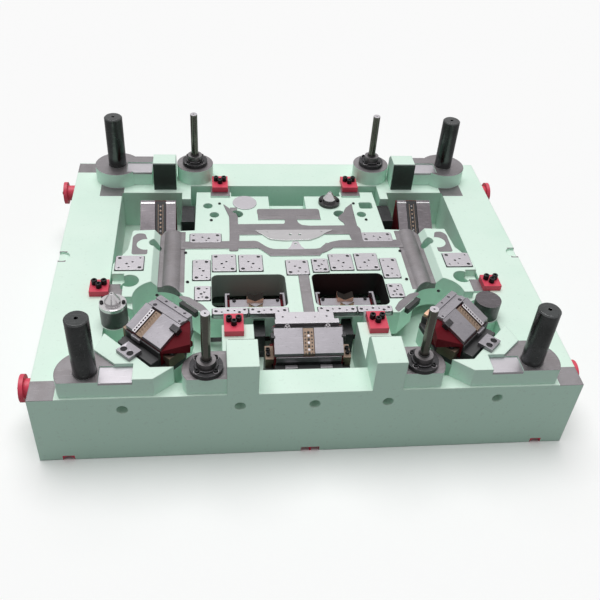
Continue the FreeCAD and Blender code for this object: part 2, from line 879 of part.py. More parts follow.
def shoe_holes():
    """Sockets, bores, recesses and notches of the shoe."""
    tools = []
    for number, (x, y) in enumerate(post_places()):
        tools.append(rod(
            "post_socket_%d" % number, "post_radius + socket_gap", "post_socket + 1",
            x, y, "boss_top - post_socket",
        ))
    for name, x, y in spring_places():
        tools.append(rod(
            "spring_bore_" + name, "spring_body_radius + running_gap",
            "boss_top - spring_body_bottom + 1", x, y, "spring_body_bottom",
        ))
    for number, (x, y) in enumerate(pad_spring_places()):
        tools.append(rod(
            "pad_spring_bore_%d" % number, "pad_spring_radius + running_gap",
            "floor_height - pad_spring_bottom + 1", x, y, "pad_spring_bottom",
        ))
    for name, y, z in trunnion_places():
        tools.append(rod(
            "trunnion_socket_left_" + name, "trunnion_radius + socket_gap", "trunnion_socket + 1",
            "0 - shoe_length / 2 - 1", y, z, along="x",
        ))
        tools.append(rod(
            "trunnion_socket_right_" + name, "trunnion_radius + socket_gap", "trunnion_socket + 1",
            "shoe_length / 2 - trunnion_socket", y, z, along="x",
        ))
    left = []
    for name, x_last, y_first, y_last in boss_recesses():
        left.append(span(
            name + "_recess", "0 - boss_recess_outer", x_last + " + 1", y_first + " - 1", y_last,
            "boss_top - boss_recess_depth", "corner_rest + 1",
        ))
    left.append(rod(
        "edge_notch", "edge_notch_radius", "edge_notch_depth + 1",
        "0 - edge_notch_x", "edge_notch_y", "rim_height - edge_notch_depth",
    ))
    for name, x in (("far", "face_hole_far"), ("near", "face_hole_near")):
        left.append(rod(
            "face_hole_" + name, "face_hole_radius", "face_hole_depth + 1",
            "0 - " + x, "0 - shoe_width / 2 - 1", "face_hole_z", along="y",
        ))
    left.append(rod(
        "clamp_notch", "clamp_notch_radius", "clamp_notch_depth + 1",
        "0 - clamp_notch_x", "0 - shoe_width / 2 - 1", along="y",
    ))
    left.append(block(
        "key_slot", "key_slot_width", "key_slot_depth + 1", "key_slot_height + 1",
        "0 - key_slot_width - key_slot_gap / 2", "0 - shoe_width / 2 - 1", "-1",
    ))
    tools += both_sides("shoe_hole", left)
    tools.append(rod(
        "face_hole_middle", "face_hole_radius", "face_hole_depth + 1",
        "0", "0 - shoe_width / 2 - 1", "face_hole_z", along="y",
    ))
    return tools


def trunnion_places():
    """Name, Y, Z of the lifting trunnions of one side."""
    return [
        ("front", "0 - trunnion_front_y", "trunnion_front_z"),
        ("rear", "trunnion_rear_y", "trunnion_rear_z"),
    ]


def die_shoe():
    """The shoe casting: its carved upper part and, under the floor, its ribbed underside."""
    carved = cut("shoe_carved", shoe_grown(), shoe_holes())
    under = span(
        "under_envelope", "0 - shoe_length", "shoe_length", "0 - shoe_width", "shoe_width",
        "0 - floor_height", "under_split",
    )
    keep("die_shoe", cut("die_shoe", carved, [under]))
    foot = doc.addObject("Part::Common", "shoe_foot")
    foot.Base = carved
    foot.Tool = under
    keep("shoe_underside", cut("shoe_underside", foot, underside_pockets()))


def guide_posts():
    """Four ground posts with a neck over the boss, a chamfered head and a tapped centre hole."""
    profile = [
        ("0", "0"),
        ("post_radius", "0"),
        ("post_radius", "post_socket"),
        ("post_radius - post_neck_depth", "post_socket"),
        ("post_radius - post_neck_depth", "post_socket + post_neck_height"),
        ("post_radius", "post_socket + post_neck_height"),
        ("post_radius", "post_top - boss_top + post_socket - post_chamfer"),
        ("post_radius - post_chamfer", "post_top - boss_top + post_socket"),
        ("post_centre_hole", "post_top - boss_top + post_socket"),
        ("post_centre_hole", "post_top - boss_top + post_socket - 3 * post_centre_hole"),
        ("0", "post_top - boss_top + post_socket - 3 * post_centre_hole"),
    ]
    posts = []
    for number, (x, y) in enumerate(post_places()):
        posts.append(turned("post_%d" % number, profile, x, y, "boss_top - post_socket"))
    keep("guide_posts", group("guide_posts", posts))


def boss_plates():
    """Ground rest plates in the recesses of the post bosses."""
    plates = []
    for name, x_last, y_first, y_last in boss_recesses():
        plates.append(span(
            name + "_rest_plate",
            "running_gap - boss_recess_outer", x_last + " - running_gap",
            y_first + " + running_gap", y_last + " - running_gap",
            "boss_top - boss_recess_depth",
            "boss_top - boss_recess_depth + boss_plate_thickness",
        ))
    keep("boss_rest_plates", group("boss_rest_plates", both_sides("rest_plate", plates)))


def gas_springs():
    """Cylinders, flanges, flange screws and the four rods."""
    body = [
        ("0", "0"),
        ("spring_body_radius", "0"),
        ("spring_body_radius", "spring_body_top - spring_body_bottom"),
        ("spring_rod_radius + running_gap", "spring_body_top - spring_body_bottom"),
        ("spring_rod_radius + running_gap", "spring_floor"),
        ("0", "spring_floor"),
    ]
    flange = [
        ("spring_body_radius + running_gap", "0"),
        ("spring_flange_radius", "0"),
        ("spring_flange_radius", "spring_flange_thickness"),
        ("spring_body_radius + running_gap", "spring_flange_thickness"),
    ]
    rod_profile = [
        ("0", "0"),
        ("spring_rod_radius", "0"),
        ("spring_rod_radius", "spring_rod_top - spring_rod_bottom - 2"),
        ("spring_rod_radius - 2", "spring_rod_top - spring_rod_bottom"),
        ("spring_rod_hole", "spring_rod_top - spring_rod_bottom"),
        ("spring_rod_hole", "spring_rod_top - spring_rod_bottom - 12"),
        ("0", "spring_rod_top - spring_rod_bottom - 12"),
    ]
    cylinders = []
    flanges = []
    screws = []
    for name, x, y in spring_places():
        cylinders.append(turned("spring_body_" + name, body, x, y, "spring_body_bottom"))
        ring = turned("flange_ring_" + name, flange, x, y, "boss_top")
        holes = []
        for number, (right, back) in enumerate(((1, 1), (-1, 1), (-1, -1), (1, -1))):
            at_x = "%s + %d * spring_screw_circle * sqrt(0.5)" % (x, right)
            at_y = "%s + %d * spring_screw_circle * sqrt(0.5)" % (y, back)
            holes.append(rod(
                "flange_hole_%s_%d" % (name, number), "screw_radius + screw_hole_gap",
                "spring_flange_thickness + 2", at_x, at_y, "boss_top - 1",
            ))
            screws.append(cap_screw(
                "flange_screw_%s_%d" % (name, number), "screw_radius", "screw_head_radius",
                "screw_head_height", "spring_flange_thickness", at_x, at_y,
                "boss_top + spring_flange_thickness",
            ))
        flanges.append(cut("flange_" + name, ring, holes))
        keep("spring_rod_" + name,
             turned("spring_rod_" + name, rod_profile, x, y, "spring_rod_bottom"))
    keep("spring_cylinders", group("spring_cylinders", cylinders))
    keep("spring_flanges", group("spring_flanges", flanges))
    keep("spring_flange_screws", group("spring_flange_screws", screws))


def lifting_trunnions():
    """Four shafts with a retaining disc, pressed into the sides."""
    pieces = []
    for name, y, z in trunnion_places():
        shaft = rod(
            "trunnion_shaft_" + name, "trunnion_radius", "trunnion_socket + trunnion_reach",
            "0 - shoe_length / 2 - trunnion_reach", y, z, along="x",
        )
        disc = rod(
            "trunnion_disc_" + name, "trunnion_disc_radius", "trunnion_disc_thickness",
            "0 - shoe_length / 2 - trunnion_reach - trunnion_disc_thickness", y, z, along="x",
        )
        pieces.append(fuse("trunnion_" + name, [shaft, disc]))
    keep("lifting_trunnions", group("lifting_trunnions", both_sides("trunnion", pieces)))


def heel_wear_plates():
    """Dark wear plates on the guiding faces of the heel blocks."""
    front = block(
        "front_heel_plate",
        "front_heel_length - 2 * heel_plate_margin", "heel_plate_thickness",
        "front_heel_top - heel_chamfer - rim_height - 2 * heel_plate_margin",
        "0 - front_heel_x - front_heel_length / 2 + heel_plate_margin",
        "0 - front_heel_rear", "rim_height + heel_plate_margin",
    )
    rear = block(
        "rear_heel_plate",
        "rear_heel_length", "heel_plate_thickness", "rear_heel_top - rim_height",
        "0 - rear_heel_x - rear_heel_length / 2",
        "rear_heel_front - heel_plate_thickness", "rim_height",
    )
    keep("heel_wear_plates", group("heel_wear_plates", both_sides("heel_plate", [front, rear])))


def keeper(name, x, y, length, width):
    """One keeper plate with three holes, and its three tall screws."""
    plate = block(
        name + "_plate", width, length, "keeper_thickness",
        "%s - %s / 2" % (x, width), "%s - %s / 2" % (y, length), "rim_height",
    )
    holes = []
    screws = []
    for number, (across, along) in enumerate(((-1, 1), (1, 1), (0, -1))):
        at_x = "%s + %d * %s / 4" % (x, across, width)
        at_y = "%s + %d * keeper_width / 7" % (y, along)
        holes.append(rod(
            "%s_hole_%d" % (name, number), "keeper_screw_radius + screw_hole_gap",
            "keeper_thickness + 2", at_x, at_y, "rim_height - 1",
        ))
        screws.append(cap_screw(
            "%s_screw_%d" % (name, number), "keeper_screw_radius", "keeper_screw_head",
            "keeper_screw_height", "keeper_thickness", at_x, at_y, "rim_height + keeper_thickness",
        ))
    return cut(name, plate, holes), screws


def pad_keepers():
    """Six keeper plates on the rim, over the tabs of the pad."""
    plates = []
    screws = []
    for name, x, y, length in (
        ("keeper_rear", "0 - keeper_rear_x", "keeper_rear_y", "keeper_length"),
        ("keeper_front", "0 - keeper_front_x", "0 - keeper_front_y", "keeper_length"),
        ("keeper_side", "0 - keeper_side_x", "0 - keeper_side_y", "keeper_side_length"),
    ):
        plate, held = keeper(name, x, y, length, "keeper_width")
        plates.append(plate)
        screws += held
    keep("pad_keepers", group("pad_keepers", both_sides("keeper", plates)))
    keep("keeper_screws", group("keeper_screws", both_sides("keeper_screw", screws)))


def pedestals():
    """Two dark round pedestals beside the corner cams."""
    pedestal = rod(
        "pedestal", "pedestal_radius", "pedestal_top - rim_height",
        "0 - pedestal_x", "0 - pedestal_y", "rim_height",
    )
    keep("pedestals", group("pedestals", both_sides("pedestal", [pedestal])))


def cone(name, x, y, z):
    """A polished pilot cone on a round flange."""
    profile = [
        ("cone_hole_radius", "0"),
        ("cone_flange_radius", "0"),
        ("cone_flange_radius", "cone_flange_thickness"),
        ("cone_radius", "cone_flange_thickness"),
        ("cone_radius", "cone_flange_thickness + cone_straight"),
        ("cone_tip_radius", "cone_flange_thickness + cone_height"),
        ("cone_hole_radius", "cone_flange_thickness + cone_height"),
    ]
    return keep(name, turned(name, profile, x, y, z))


def pad_guides():
    """Guide blocks that stand on the cavity floor and steer the pad."""
    front = span(
        "front_guide",
        "0 - guide_front_x - guide_width / 2", "guide_width / 2 - guide_front_x",
        "0 - ledge_end + tab_gap", "guide_front_depth - pad_front - running_gap",
        "floor_height", "guide_top",
    )
    rear = span(
        "rear_guide",
        "0 - centre_half - finger_width + running_gap", "0 - pad_waist_x - running_gap - 2",
        "guide_rear_front", "guide_rear_front + guide_rear_length",
        "floor_height", "guide_slot_top",
    )
    keep("pad_guide_blocks", group("pad_guide_blocks", both_sides("guide", [front, rear])))


def pad_springs():
    """Short gas springs under the pad: cylinders in the floor, rods under the pad."""
    body = [
        ("0", "0"),
        ("pad_spring_radius", "0"),
        ("pad_spring_radius", "pad_spring_top - pad_spring_bottom"),
        ("pad_spring_rod + running_gap", "pad_spring_top - pad_spring_bottom"),
        ("pad_spring_rod + running_gap", "pad_spring_floor"),
        ("0", "pad_spring_floor"),
    ]
    cylinders = []
    rods = []
    for number, (x, y) in enumerate(pad_spring_places()):
        cylinders.append(turned("pad_spring_%d" % number, body, x, y, "pad_spring_bottom"))
        rods.append(rod(
            "pad_rod_%d" % number, "pad_spring_rod", "pad_bottom - pad_rod_bottom",
            x, y, "pad_rod_bottom",
        ))
    keep("pad_spring_cylinders", group("pad_spring_cylinders", cylinders))
    keep("pad_spring_rods", group("pad_spring_rods", rods))


# Pad

def pad_outline():
    """Plan of the pad: rear tabs, waist, side wings and front."""
    right = [
        ("pad_tab_inner", "pad_rear"),
        ("pad_tab_inner", "pad_tab_rear"),
        ("pad_tab_outer", "pad_tab_rear"),
        ("pad_waist_x", "pad_waist_y"),
        ("wing_start", "wing_rear_y"),
        ("wing_step_x", "wing_step_y"),
        ("wing_corner_x", "wing_corner_y"),
        ("wing_side_x", "wing_side_y"),
        ("wing_outer_x", "0 - wing_outer_y"),
        ("wing_outer_x", "0 - wing_front_y"),
        ("wing_end_x", "0 - wing_end_y"),
        ("pad_front_x", "0 - pad_front"),
    ]
    left = [("0 - (%s)" % x, y) for x, y in reversed(right)]
    return right + left


def pad_tabs():
    """Machined tabs that the keeper plates hold down."""
    low = "rim_height - tab_depth"
    high = "rim_height - running_gap"
    rear = span(
        "rear_tab", "0 - keeper_rear_x - tab_half", "tab_half - keeper_rear_x",
        "pad_tab_rear - tab_depth", "centre_rear - tab_gap * 3", low, high,
    )
    front = span(
        "front_tab", "0 - keeper_front_x - tab_half + 6", "tab_half - keeper_front_x - 6",
        "0 - ledge_end + tab_gap", "5 - pad_front", low, high,
    )
    side = span(
        "side_tab", "0 - cavity_half - keeper_notch + tab_gap", "tab_depth - wing_outer_x",
        "0 - keeper_side_y - tab_half + tab_gap", "tab_half - tab_gap - keeper_side_y", low, high,
    )
    return both_sides("tab", [rear, front, side])


def pad_platforms():
    """Raised platforms of the wings, whose inner sides slope into the channels."""
    plan = prism("platform_plan", [
        ("0 - platform_foot", "wing_step_y"),
        ("0 - wing_corner_x", "wing_corner_y"),
        ("0 - wing_side_x", "wing_side_y"),
        ("0 - wing_outer_x", "0 - wing_outer_y"),
        ("0 - wing_outer_x", "0 - platform_tab_y"),
        ("0 - platform_tab_x", "0 - platform_tab_y"),
        ("0 - platform_tab_x", "0 - platform_front"),
        ("0 - platform_foot", "0 - platform_front"),
    ], "platform_top - pad_top + 1", "pad_top - 1")
    slope = side_prism("platform_slope", [
        ("0 - platform_foot", "pad_top - 1"),
        ("0 - platform_edge", "platform_top"),
        ("0 - wing_outer_x", "platform_top"),
        ("0 - wing_outer_x", "pad_top - 1"),
    ], "2 * platform_front")
    platform = doc.addObject("Part::Common", "platform")
    platform.Base = plan
    platform.Tool = slope
    return both_sides("platform", [platform])


def pad_bands():
    """Machined bands and beads that stand a little above the cast top."""
    low = "pad_top - band_proud"
    high = "pad_top + band_proud"
    bands = []
    for name, ends in seat_names(BANDS):
        bands.append(span(name, *ends, low, high))
    for name, side in (("left", -1), ("right", 1)):
        bands.append(prism(name + "_slope", [
            ("%d * 118" % side, "26"),
            ("%d * 170" % side, "88"),
            ("%d * 162" % side, "128"),
            ("%d * 108" % side, "62"),
        ], "2 * band_proud", low))
    bands.append(rod(
        "set_disc", "pedestal_radius", "2 * band_proud", "0 - pilot_x", "pilot_y", low,
    ))
    bead = rod(
        "bead", "bead_radius", "bead_front + bead_rear",
        "0 - bead_x", "0 - bead_front", "pad_top - bead_sink", along="y",
    )
    return bands + both_sides("bead", [bead])


def pad_cuts():
    """Windows, cam pockets, holes, insert seats and the hollow underside of the pad."""
    through = "pad_top - pad_bottom + 50"
    low = "pad_bottom - 1"
    window = span(
        "window_block", "0 - window_outer", "0 - window_inner",
        "0 - window_front", "0 - window_rear", low, "rim_height",
    )
    left = [rounded("window", window, "window_corner")]
    left.append(cam_place("hub", group("hub_pocket_set", [block(
        "hub_pocket", "2 * pad_pocket_reach", "2 * pad_pocket_half",
        through + " + pad_bottom - floor_height",
        "0 - pad_pocket_reach", "0 - pad_pocket_half",
    )])))
    left.append(rod("scallop", "scallop_radius", through, "0 - scallop_x", "0 - scallop_y", low))
    left.append(rod(
        "pedestal_clearance", "pedestal_boss_radius + tab_gap", through,
        "0 - pedestal_x", "0 - pedestal_y", low,
    ))
    left.append(rod("wing_sight", "sight_hole", through, "0 - 662", "96", low))
    left.append(rod("wing_opening", "wing_hole", through, "0 - 762", "0 - 190", low))
    left.append(rod("middle_sight", "sight_hole + 2", through, "0 - 264", "386", low))
    left.append(rod("rear_sight", "sight_hole - 4", through, "0 - 380", "380", low))
    left.append(span(
        "guide_slot",
        "0 - guide_front_x - guide_width / 2 - running_gap",
        "guide_width / 2 - guide_front_x + running_gap",
        "0 - pad_front - 1", "guide_front_depth - pad_front",
        low, "guide_slot_top",
    ))
    left.append(span(
        "wing_core",
        "0 - wing_pocket_x - pad_pocket / 2 + 20", "pad_pocket / 2 - wing_pocket_x - 20",
        "wing_pocket_y - pad_pocket / 2", "wing_pocket_y + pad_pocket / 2",
        low, "pad_top - pad_plate",
    ))
    for column in range(2):
        for row in range(2):
            left.append(block(
                "pad_core_%d_%d" % (column, row), "pad_pocket", "pad_pocket",
                "pad_top - pad_plate - pad_bottom + 1",
                "0 - pad_rib / 2 - pad_pocket - %d * (pad_pocket + pad_rib)" % column,
                "pad_pocket_front + %d * (pad_pocket + pad_rib)" % row, low,
            ))
    tools = both_sides("pad_cut", left)
    tools.append(rod("left_sight", "sight_hole - 4", through, "0 - 412", "462", low))
    square = span("square_sight_block", "380", "450", "434", "492", low, "rim_height")
    tools.append(rounded("square_sight", square, "insert_corner"))
    tools.append(span(
        "centre_step", "0 - centre_step_half", "centre_step_half",
        "centre_step_front", "pad_rear + 1", "pad_top - centre_step_depth", "rim_height",
    ))
    return tools


def seat_cut(name, ends, top="pad_top"):
    """The pocket in the pad for one insert plate."""
    x_first, x_last, y_first, y_last = ends
    return span(
        name, x_first + " - insert_gap", x_last + " + insert_gap",
        y_first + " - insert_gap", y_last + " + insert_gap",
        top + " + insert_proud - insert_thickness", top + " + 2 * insert_proud",
    )


def insert_plate(name, ends, top="pad_top"):
    """One insert plate with rounded corners."""
    x_first, x_last, y_first, y_last = ends
    plate = span(
        name + "_block", x_first, x_last, y_first, y_last,
        top + " + insert_proud - insert_thickness", top + " + insert_proud",
    )
    return rounded(name, plate, "insert_corner")


def pad():
    """The pad casting and the plates let into it."""
    body = prism("pad_body", pad_outline(), "pad_top - pad_bottom", "pad_bottom")
    grown = fuse("pad_grown", [body] + pad_platforms() + pad_tabs() + pad_bands())
    seats = []
    for name, ends in seat_names(LEFT_SEATS):
        seats.append(seat_cut(name + "_seat", ends))
    for name, ends in seat_names(PLATFORM_SEATS):
        seats.append(seat_cut(name + "_seat", ends, "platform_top"))
    for name, ends in seat_names(STRIP_SEATS):
        seats.append(seat_cut(name + "_seat", ends))
    seats = both_sides("seat", seats)
    for name, ends in seat_names(CENTRE_SEATS):
        seats.append(seat_cut(name + "_seat", ends))
    hollow = cut("pad_hollow", grown, pad_cuts())
    keep("pad", cut("pad", hollow, seats))

    plates = [insert_plate(name, ends) for name, ends in seat_names(LEFT_SEATS)]
    for name, ends in seat_names(PLATFORM_SEATS):
        plates.append(insert_plate(name, ends, "platform_top"))
    plates = both_sides("plate", plates)
    plates += [insert_plate(name, ends) for name, ends in seat_names(CENTRE_SEATS)]
    keep("pad_insert_plates", group("pad_insert_plates", plates))
    strips = [insert_plate(name, ends) for name, ends in seat_names(STRIP_SEATS)]
    keep("pad_front_strips", group("pad_front_strips", both_sides("strip", strips)))
    keep("pad_flange_bar", span(
        "pad_flange_bar", "0 - bar_half", "bar_half", "0 - bar_front", "0 - pad_front",
        "bar_bottom", "bar_top",
    ))


# Cams

def cam_place(unit, thing):
    """Puts a cam piece from its own frame, in which it works along X, into the die."""
    if unit == "front":
        x, y, angle = "0", "0 - front_y", "90"
    elif unit == "hub":
        x, y, angle = "0 - hub_x", "0 - hub_y", "corner_angle"
    else:
        x, y, angle = "0 - corner_x", "0 - corner_y", "corner_angle"
    thing.Placement = FreeCAD.Placement(
        FreeCAD.Vector(), FreeCAD.Rotation(FreeCAD.Vector(0, 0, 1), 1)
    )
    thing.setExpression("Placement.Rotation.Angle", formula(angle))
    return place(thing, x, y, "floor_height")


def own(unit, text):
    """A formula in which my_ stands for the sizes of one kind of cam."""
    return text.replace("my_", unit + "_")


def cam_base(unit):
    """The base: a plate that narrows to a lug in front and rises to a tail behind."""
    half = "my_slide_width / 2"
    rear = "0 - my_slide_length / 2"
    side = [
        (rear + " - my_tail", half + " - 2"),
        (rear, half + " + gib_outer"),
        ("gib_length - my_gib_start + 5", half + " + gib_outer"),
        ("my_slide_length / 2", half + " - 16"),
        ("my_slide_length / 2 + cam_lead", "lug_half + 10"),
    ]
    outline_points = [(own(unit, x), own(unit, y)) for x, y in side]
    outline_points += [(x, "0 - (%s)" % y) for x, y in reversed(outline_points)]
    seat = "corner_seat" if unit == "corner" else "0"
    plate = prism(unit + "_cam_plate", outline_points, "%s_base - %s" % (unit, seat), seat)
    tail_top = "front_tail_height"
    if unit == "corner":
        tail_top = "corner_rest - floor_height - running_gap"
    tail = block(
        unit + "_cam_tail", own(unit, "my_tail - running_gap"), own(unit, "my_slide_width - 4"),
        "%s - %s_base" % (tail_top, unit),
        own(unit, rear + " - my_tail"), own(unit, "2 - my_slide_width / 2"), unit + "_base",
    )
    lug_x = own(unit, "my_slide_length / 2 + cam_lead - lug_thickness")
    lug = block(
        unit + "_cam_lug", "lug_thickness", "2 * lug_half", "lug_height",
        lug_x, "0 - lug_half", unit + "_base",
    )
    grown = fuse(unit + "_cam_base_grown", [plate, tail, lug])
    socket = rod(
        unit + "_rod_socket", "return_rod_radius + socket_gap", "lug_thickness",
        lug_x + " - 1", "0", unit + "_base + return_height", along="x",
    )
    return cut(unit + "_cam_base_block", grown, [socket])


def cam_slide(unit):
    """The sliding body, with flanges under the gibs and a bore for the return spring."""
    low = "my_base + running_gap"
    profile = [
        ("0 - my_slide_length / 2", low),
        ("my_slide_length / 2", low),
        ("my_slide_length / 2", "my_high"),
        ("my_slide_length / 2 - my_shelf", "my_high"),
        ("0 - my_slide_length / 2", "my_low"),
    ]
    body = side_prism(
        unit + "_slide_body", [(own(unit, x), own(unit, z)) for x, z in profile],
        unit + "_slide_width",
    )
    flange = block(
        unit + "_slide_flange", unit + "_slide_length - slide_flange_setback",
        unit + "_slide_width + 2 * slide_flange", "slide_flange_height",
        "slide_flange_setback - %s_slide_length / 2" % unit,
        "0 - %s_slide_width / 2 - slide_flange" % unit,
        own(unit, low),
    )
    bore = rod(
        unit + "_spring_bore", "return_radius + socket_gap", "return_depth + 1",
        unit + "_slide_length / 2 - return_depth", "0", unit + "_base + return_height", along="x",
    )
    grown = [body, flange]
    if unit == "corner":
        grown.append(slide_wedge())
    return cut(unit + "_cam_slide_block", fuse(unit + "_slide_grown", grown), [bore])


def slide_wedge():
    """The corner slide's three-sided side, over its gib, with one face square to the die."""
    low = "corner_base + gib_height + screw_head_height + wedge_gap"
    side = "(corner_slide_width / 2)"
    plan = prism("wedge_plan", [
        ("0 - corner_slide_length / 2", "1 - " + side),
        ("0 - corner_slide_length / 2", "0 - " + side),
        ("0", "0 - %s - corner_slide_length / 2" % side),
        ("corner_slide_length / 2", "0 - " + side),
        ("corner_slide_length / 2", "1 - " + side),
    ], "corner_high - (%s)" % low, low)
    slope = side_prism("wedge_slope", [
        ("0 - corner_slide_length / 2", low),
        ("corner_slide_length / 2", low),
        ("corner_slide_length / 2", "corner_high"),
        ("corner_slide_length / 2 - corner_shelf", "corner_high"),
        ("0 - corner_slide_length / 2", "corner_low"),
    ], "2 * corner_slide_width")
    wedge = doc.addObject("Part::Common", "slide_wedge")
    wedge.Base = plan
    wedge.Tool = slope
    return wedge


def sloped_plate(name, unit, y, width, thickness):
    """A plate on the sloped top of the slide."""
    top_x = "my_slide_length / 2 - my_shelf"
    profile = [
        ("0 - my_slide_length / 2", "my_low"),
        (top_x, "my_high"),
        (top_x, "my_high + " + thickness),
        ("0 - my_slide_length / 2", "my_low + " + thickness),
    ]
    return side_prism(name, [(own(unit, x), own(unit, z)) for x, z in profile], width, "0", y)


def cam_plates(unit):
    """The two wear plates, one each side of the guide strip."""
    edge = "(my_strip_y + my_strip_width / 2 + plate_gap)"
    first = sloped_plate(
        unit + "_plate_first", unit,
        own(unit, "(my_slide_width / 2 + %s) / 2" % edge),
        own(unit, "my_slide_width / 2 - %s" % edge), "wear_plate_thickness",
    )
    edge = "(my_strip_y - my_strip_width / 2 - plate_gap)"
    second = sloped_plate(
        unit + "_plate_second", unit,
        own(unit, "(%s - my_slide_width / 2) / 2" % edge),
        own(unit, "my_slide_width / 2 + %s" % edge), "wear_plate_thickness",
    )
    return group(unit + "_plates_group", [first, second])


def cam_steel(unit):
    """The working steel on the shelf, with a cheek in front of the slide."""
    profile = [
        ("my_slide_length / 2 - my_shelf + 1", "my_high"),
        ("my_slide_length / 2", "my_high"),
        ("my_slide_length / 2", "my_high - steel_drop"),
        ("my_slide_length / 2 + steel_nose", "my_high - steel_drop"),
        ("my_slide_length / 2 + steel_nose", "my_high + steel_height"),
        ("my_slide_length / 2 - my_shelf + 1", "my_high + steel_height"),
    ]
    return side_prism(
        unit + "_steel_block", [(own(unit, x), own(unit, z)) for x, z in profile],
        own(unit, "my_slide_width - 2 * steel_margin"),
    )


def cam_return(unit):
    """The return spring: a cylinder in the slide and a rod in the base's lug."""
    height = unit + "_base + return_height"
    start = own(unit, "my_slide_length / 2 - return_depth")
    body = rod(unit + "_return_body", "return_radius", "return_depth", start, "0", height, along="x")
    bore = rod(
        unit + "_return_bore", "return_rod_radius + running_gap", "return_depth",
        start + " + 6", "0", height, along="x",
    )
    pin = rod(
        unit + "_return_pin", "return_rod_radius",
        "cam_lead + return_overlap - 1 - socket_gap",
        own(unit, "my_slide_length / 2 - return_overlap"), "0", height, along="x",
    )
    return cut(unit + "_return_tube", body, [bore]), group(unit + "_return_pin_set", [pin])


def cam_gibs(unit):
    """The two gibs over the slide's flanges, and their screws."""
    face = "my_slide_width / 2"
    profile = [
        (face + " + slide_flange + running_gap", "my_base"),
        (face + " + gib_outer", "my_base"),
        (face + " + gib_outer", "my_base + gib_height"),
        (face + " + running_gap", "my_base + gib_height"),
        (face + " + running_gap", "my_base + slide_flange_height + 2 * running_gap"),
        (face + " + slide_flange + running_gap",
         "my_base + slide_flange_height + 2 * running_gap"),
    ]
    gib = end_prism(
        unit + "_gib", [(own(unit, y), own(unit, z)) for y, z in profile],
        "gib_length", "0 - %s_gib_start" % unit,
    )
    at_y = own(unit, "my_slide_width / 2 + (slide_flange + gib_outer) / 2 + 1")
    holes = []
    screws = []
    for number in range(2):
        at_x = "0 - %s_gib_start + (%d + 1) * gib_length / 3" % (unit, number)
        holes.append(rod(
            "%s_gib_hole_%d" % (unit, number), "screw_radius + screw_hole_gap", "gib_height + 2",
            at_x, at_y, unit + "_base - 1",
        ))
        screws.append(cap_screw(
            "%s_gib_screw_%d" % (unit, number), "screw_radius", "screw_head_radius",
            "screw_head_height", "gib_height", at_x, at_y, unit + "_base + gib_height",
        ))
    bored = cut(unit + "_gib_bored", gib, holes)
    far = mirror(unit + "_gib_far", bored, (0, 1, 0))
    far_screws = [
        mirror("%s_gib_screw_far_%d" % (unit, i), one, (0, 1, 0)) for i, one in enumerate(screws)
    ]
    return group(unit + "_gib_pair", [bored, far]), group(unit + "_gib_screw_set",
                                                          screws + far_screws)


def keeper_block(unit):
    """The block behind a corner cam, on its platform and over the tail of the base."""
    front = own(unit, "0 - my_slide_length / 2 - my_tail + stop_bite")
    height = "corner_rest - floor_height"
    body = block(
        "stop_body", "stop_length", "stop_width", "stop_height",
        front + " - stop_length", "stop_offset - stop_width / 2", height,
    )
    holes = []
    screws = []
    for number, side in enumerate((-1, 1)):
        at_x = front + " - stop_length / 2 - stop_bite / 2"
        at_y = "%d * stop_hole_spacing / 2 + stop_offset" % side
        holes.append(rod(
            "stop_hole_%d" % number, "keeper_screw_head + screw_hole_gap", "stop_height",
            at_x, at_y, height + " + stop_floor",
        ))
        holes.append(rod(
            "stop_bolt_%d" % number, "keeper_screw_radius + screw_hole_gap", "stop_height",
            at_x, at_y, height + " - 1",
        ))
        screws.append(cap_screw(
            "stop_screw_%d" % number, "keeper_screw_radius", "keeper_screw_head",
            "stop_height - stop_floor - 3", "stop_floor", at_x, at_y, height + " + stop_floor",
        ))
    return cut("stop_bored", body, holes), group("stop_screw_set", screws)


def cams():
    """The front cam, the left corner cam and its mirror image."""
    gibs = []
    gib_screws = []
    pins = []
    for unit, label in (("front", "front_cam"), ("corner", "left_cam")):
        tube, pin = cam_return(unit)
        pair, screws = cam_gibs(unit)
        pieces = {
            "base": cam_base(unit),
            "slide": cam_slide(unit),
            "wear_plates": cam_plates(unit),
            "guide_strip": group(unit + "_strip_set", [sloped_plate(
                unit + "_strip", unit, unit + "_strip_y", unit + "_strip_width", "strip_thickness",
            )]),
            "flange_steel": cam_steel(unit),
            "return_cylinder": tube,
        }
        for part_name, piece in pieces.items():
            name = label + "_" + part_name
            keep(name, cam_place(unit, piece))
            if unit == "corner":
                keep("right_cam_" + part_name, mirror("right_cam_" + part_name, nodes[name]))
        gibs.append(cam_place(unit, pair))
        gib_screws.append(cam_place(unit, screws))
        pins.append(cam_place(unit, pin))
    for name, found in (("cam_gibs", gibs), ("cam_gib_screws", gib_screws),
                        ("cam_return_rods", pins)):
        keep(name, group(name, found + [mirror(name + "_right", found[1])]))
    stop, stop_screws = keeper_block("corner")
    stop = cam_place("corner", stop)
    stop_screws = cam_place("corner", stop_screws)
    keep("cam_keeper_blocks", group("cam_keeper_blocks", both_sides("stop", [stop])))
    keep("cam_keeper_screws", group("cam_keeper_screws", both_sides("stop_screw", [stop_screws])))


# Drivers of the hanging cams

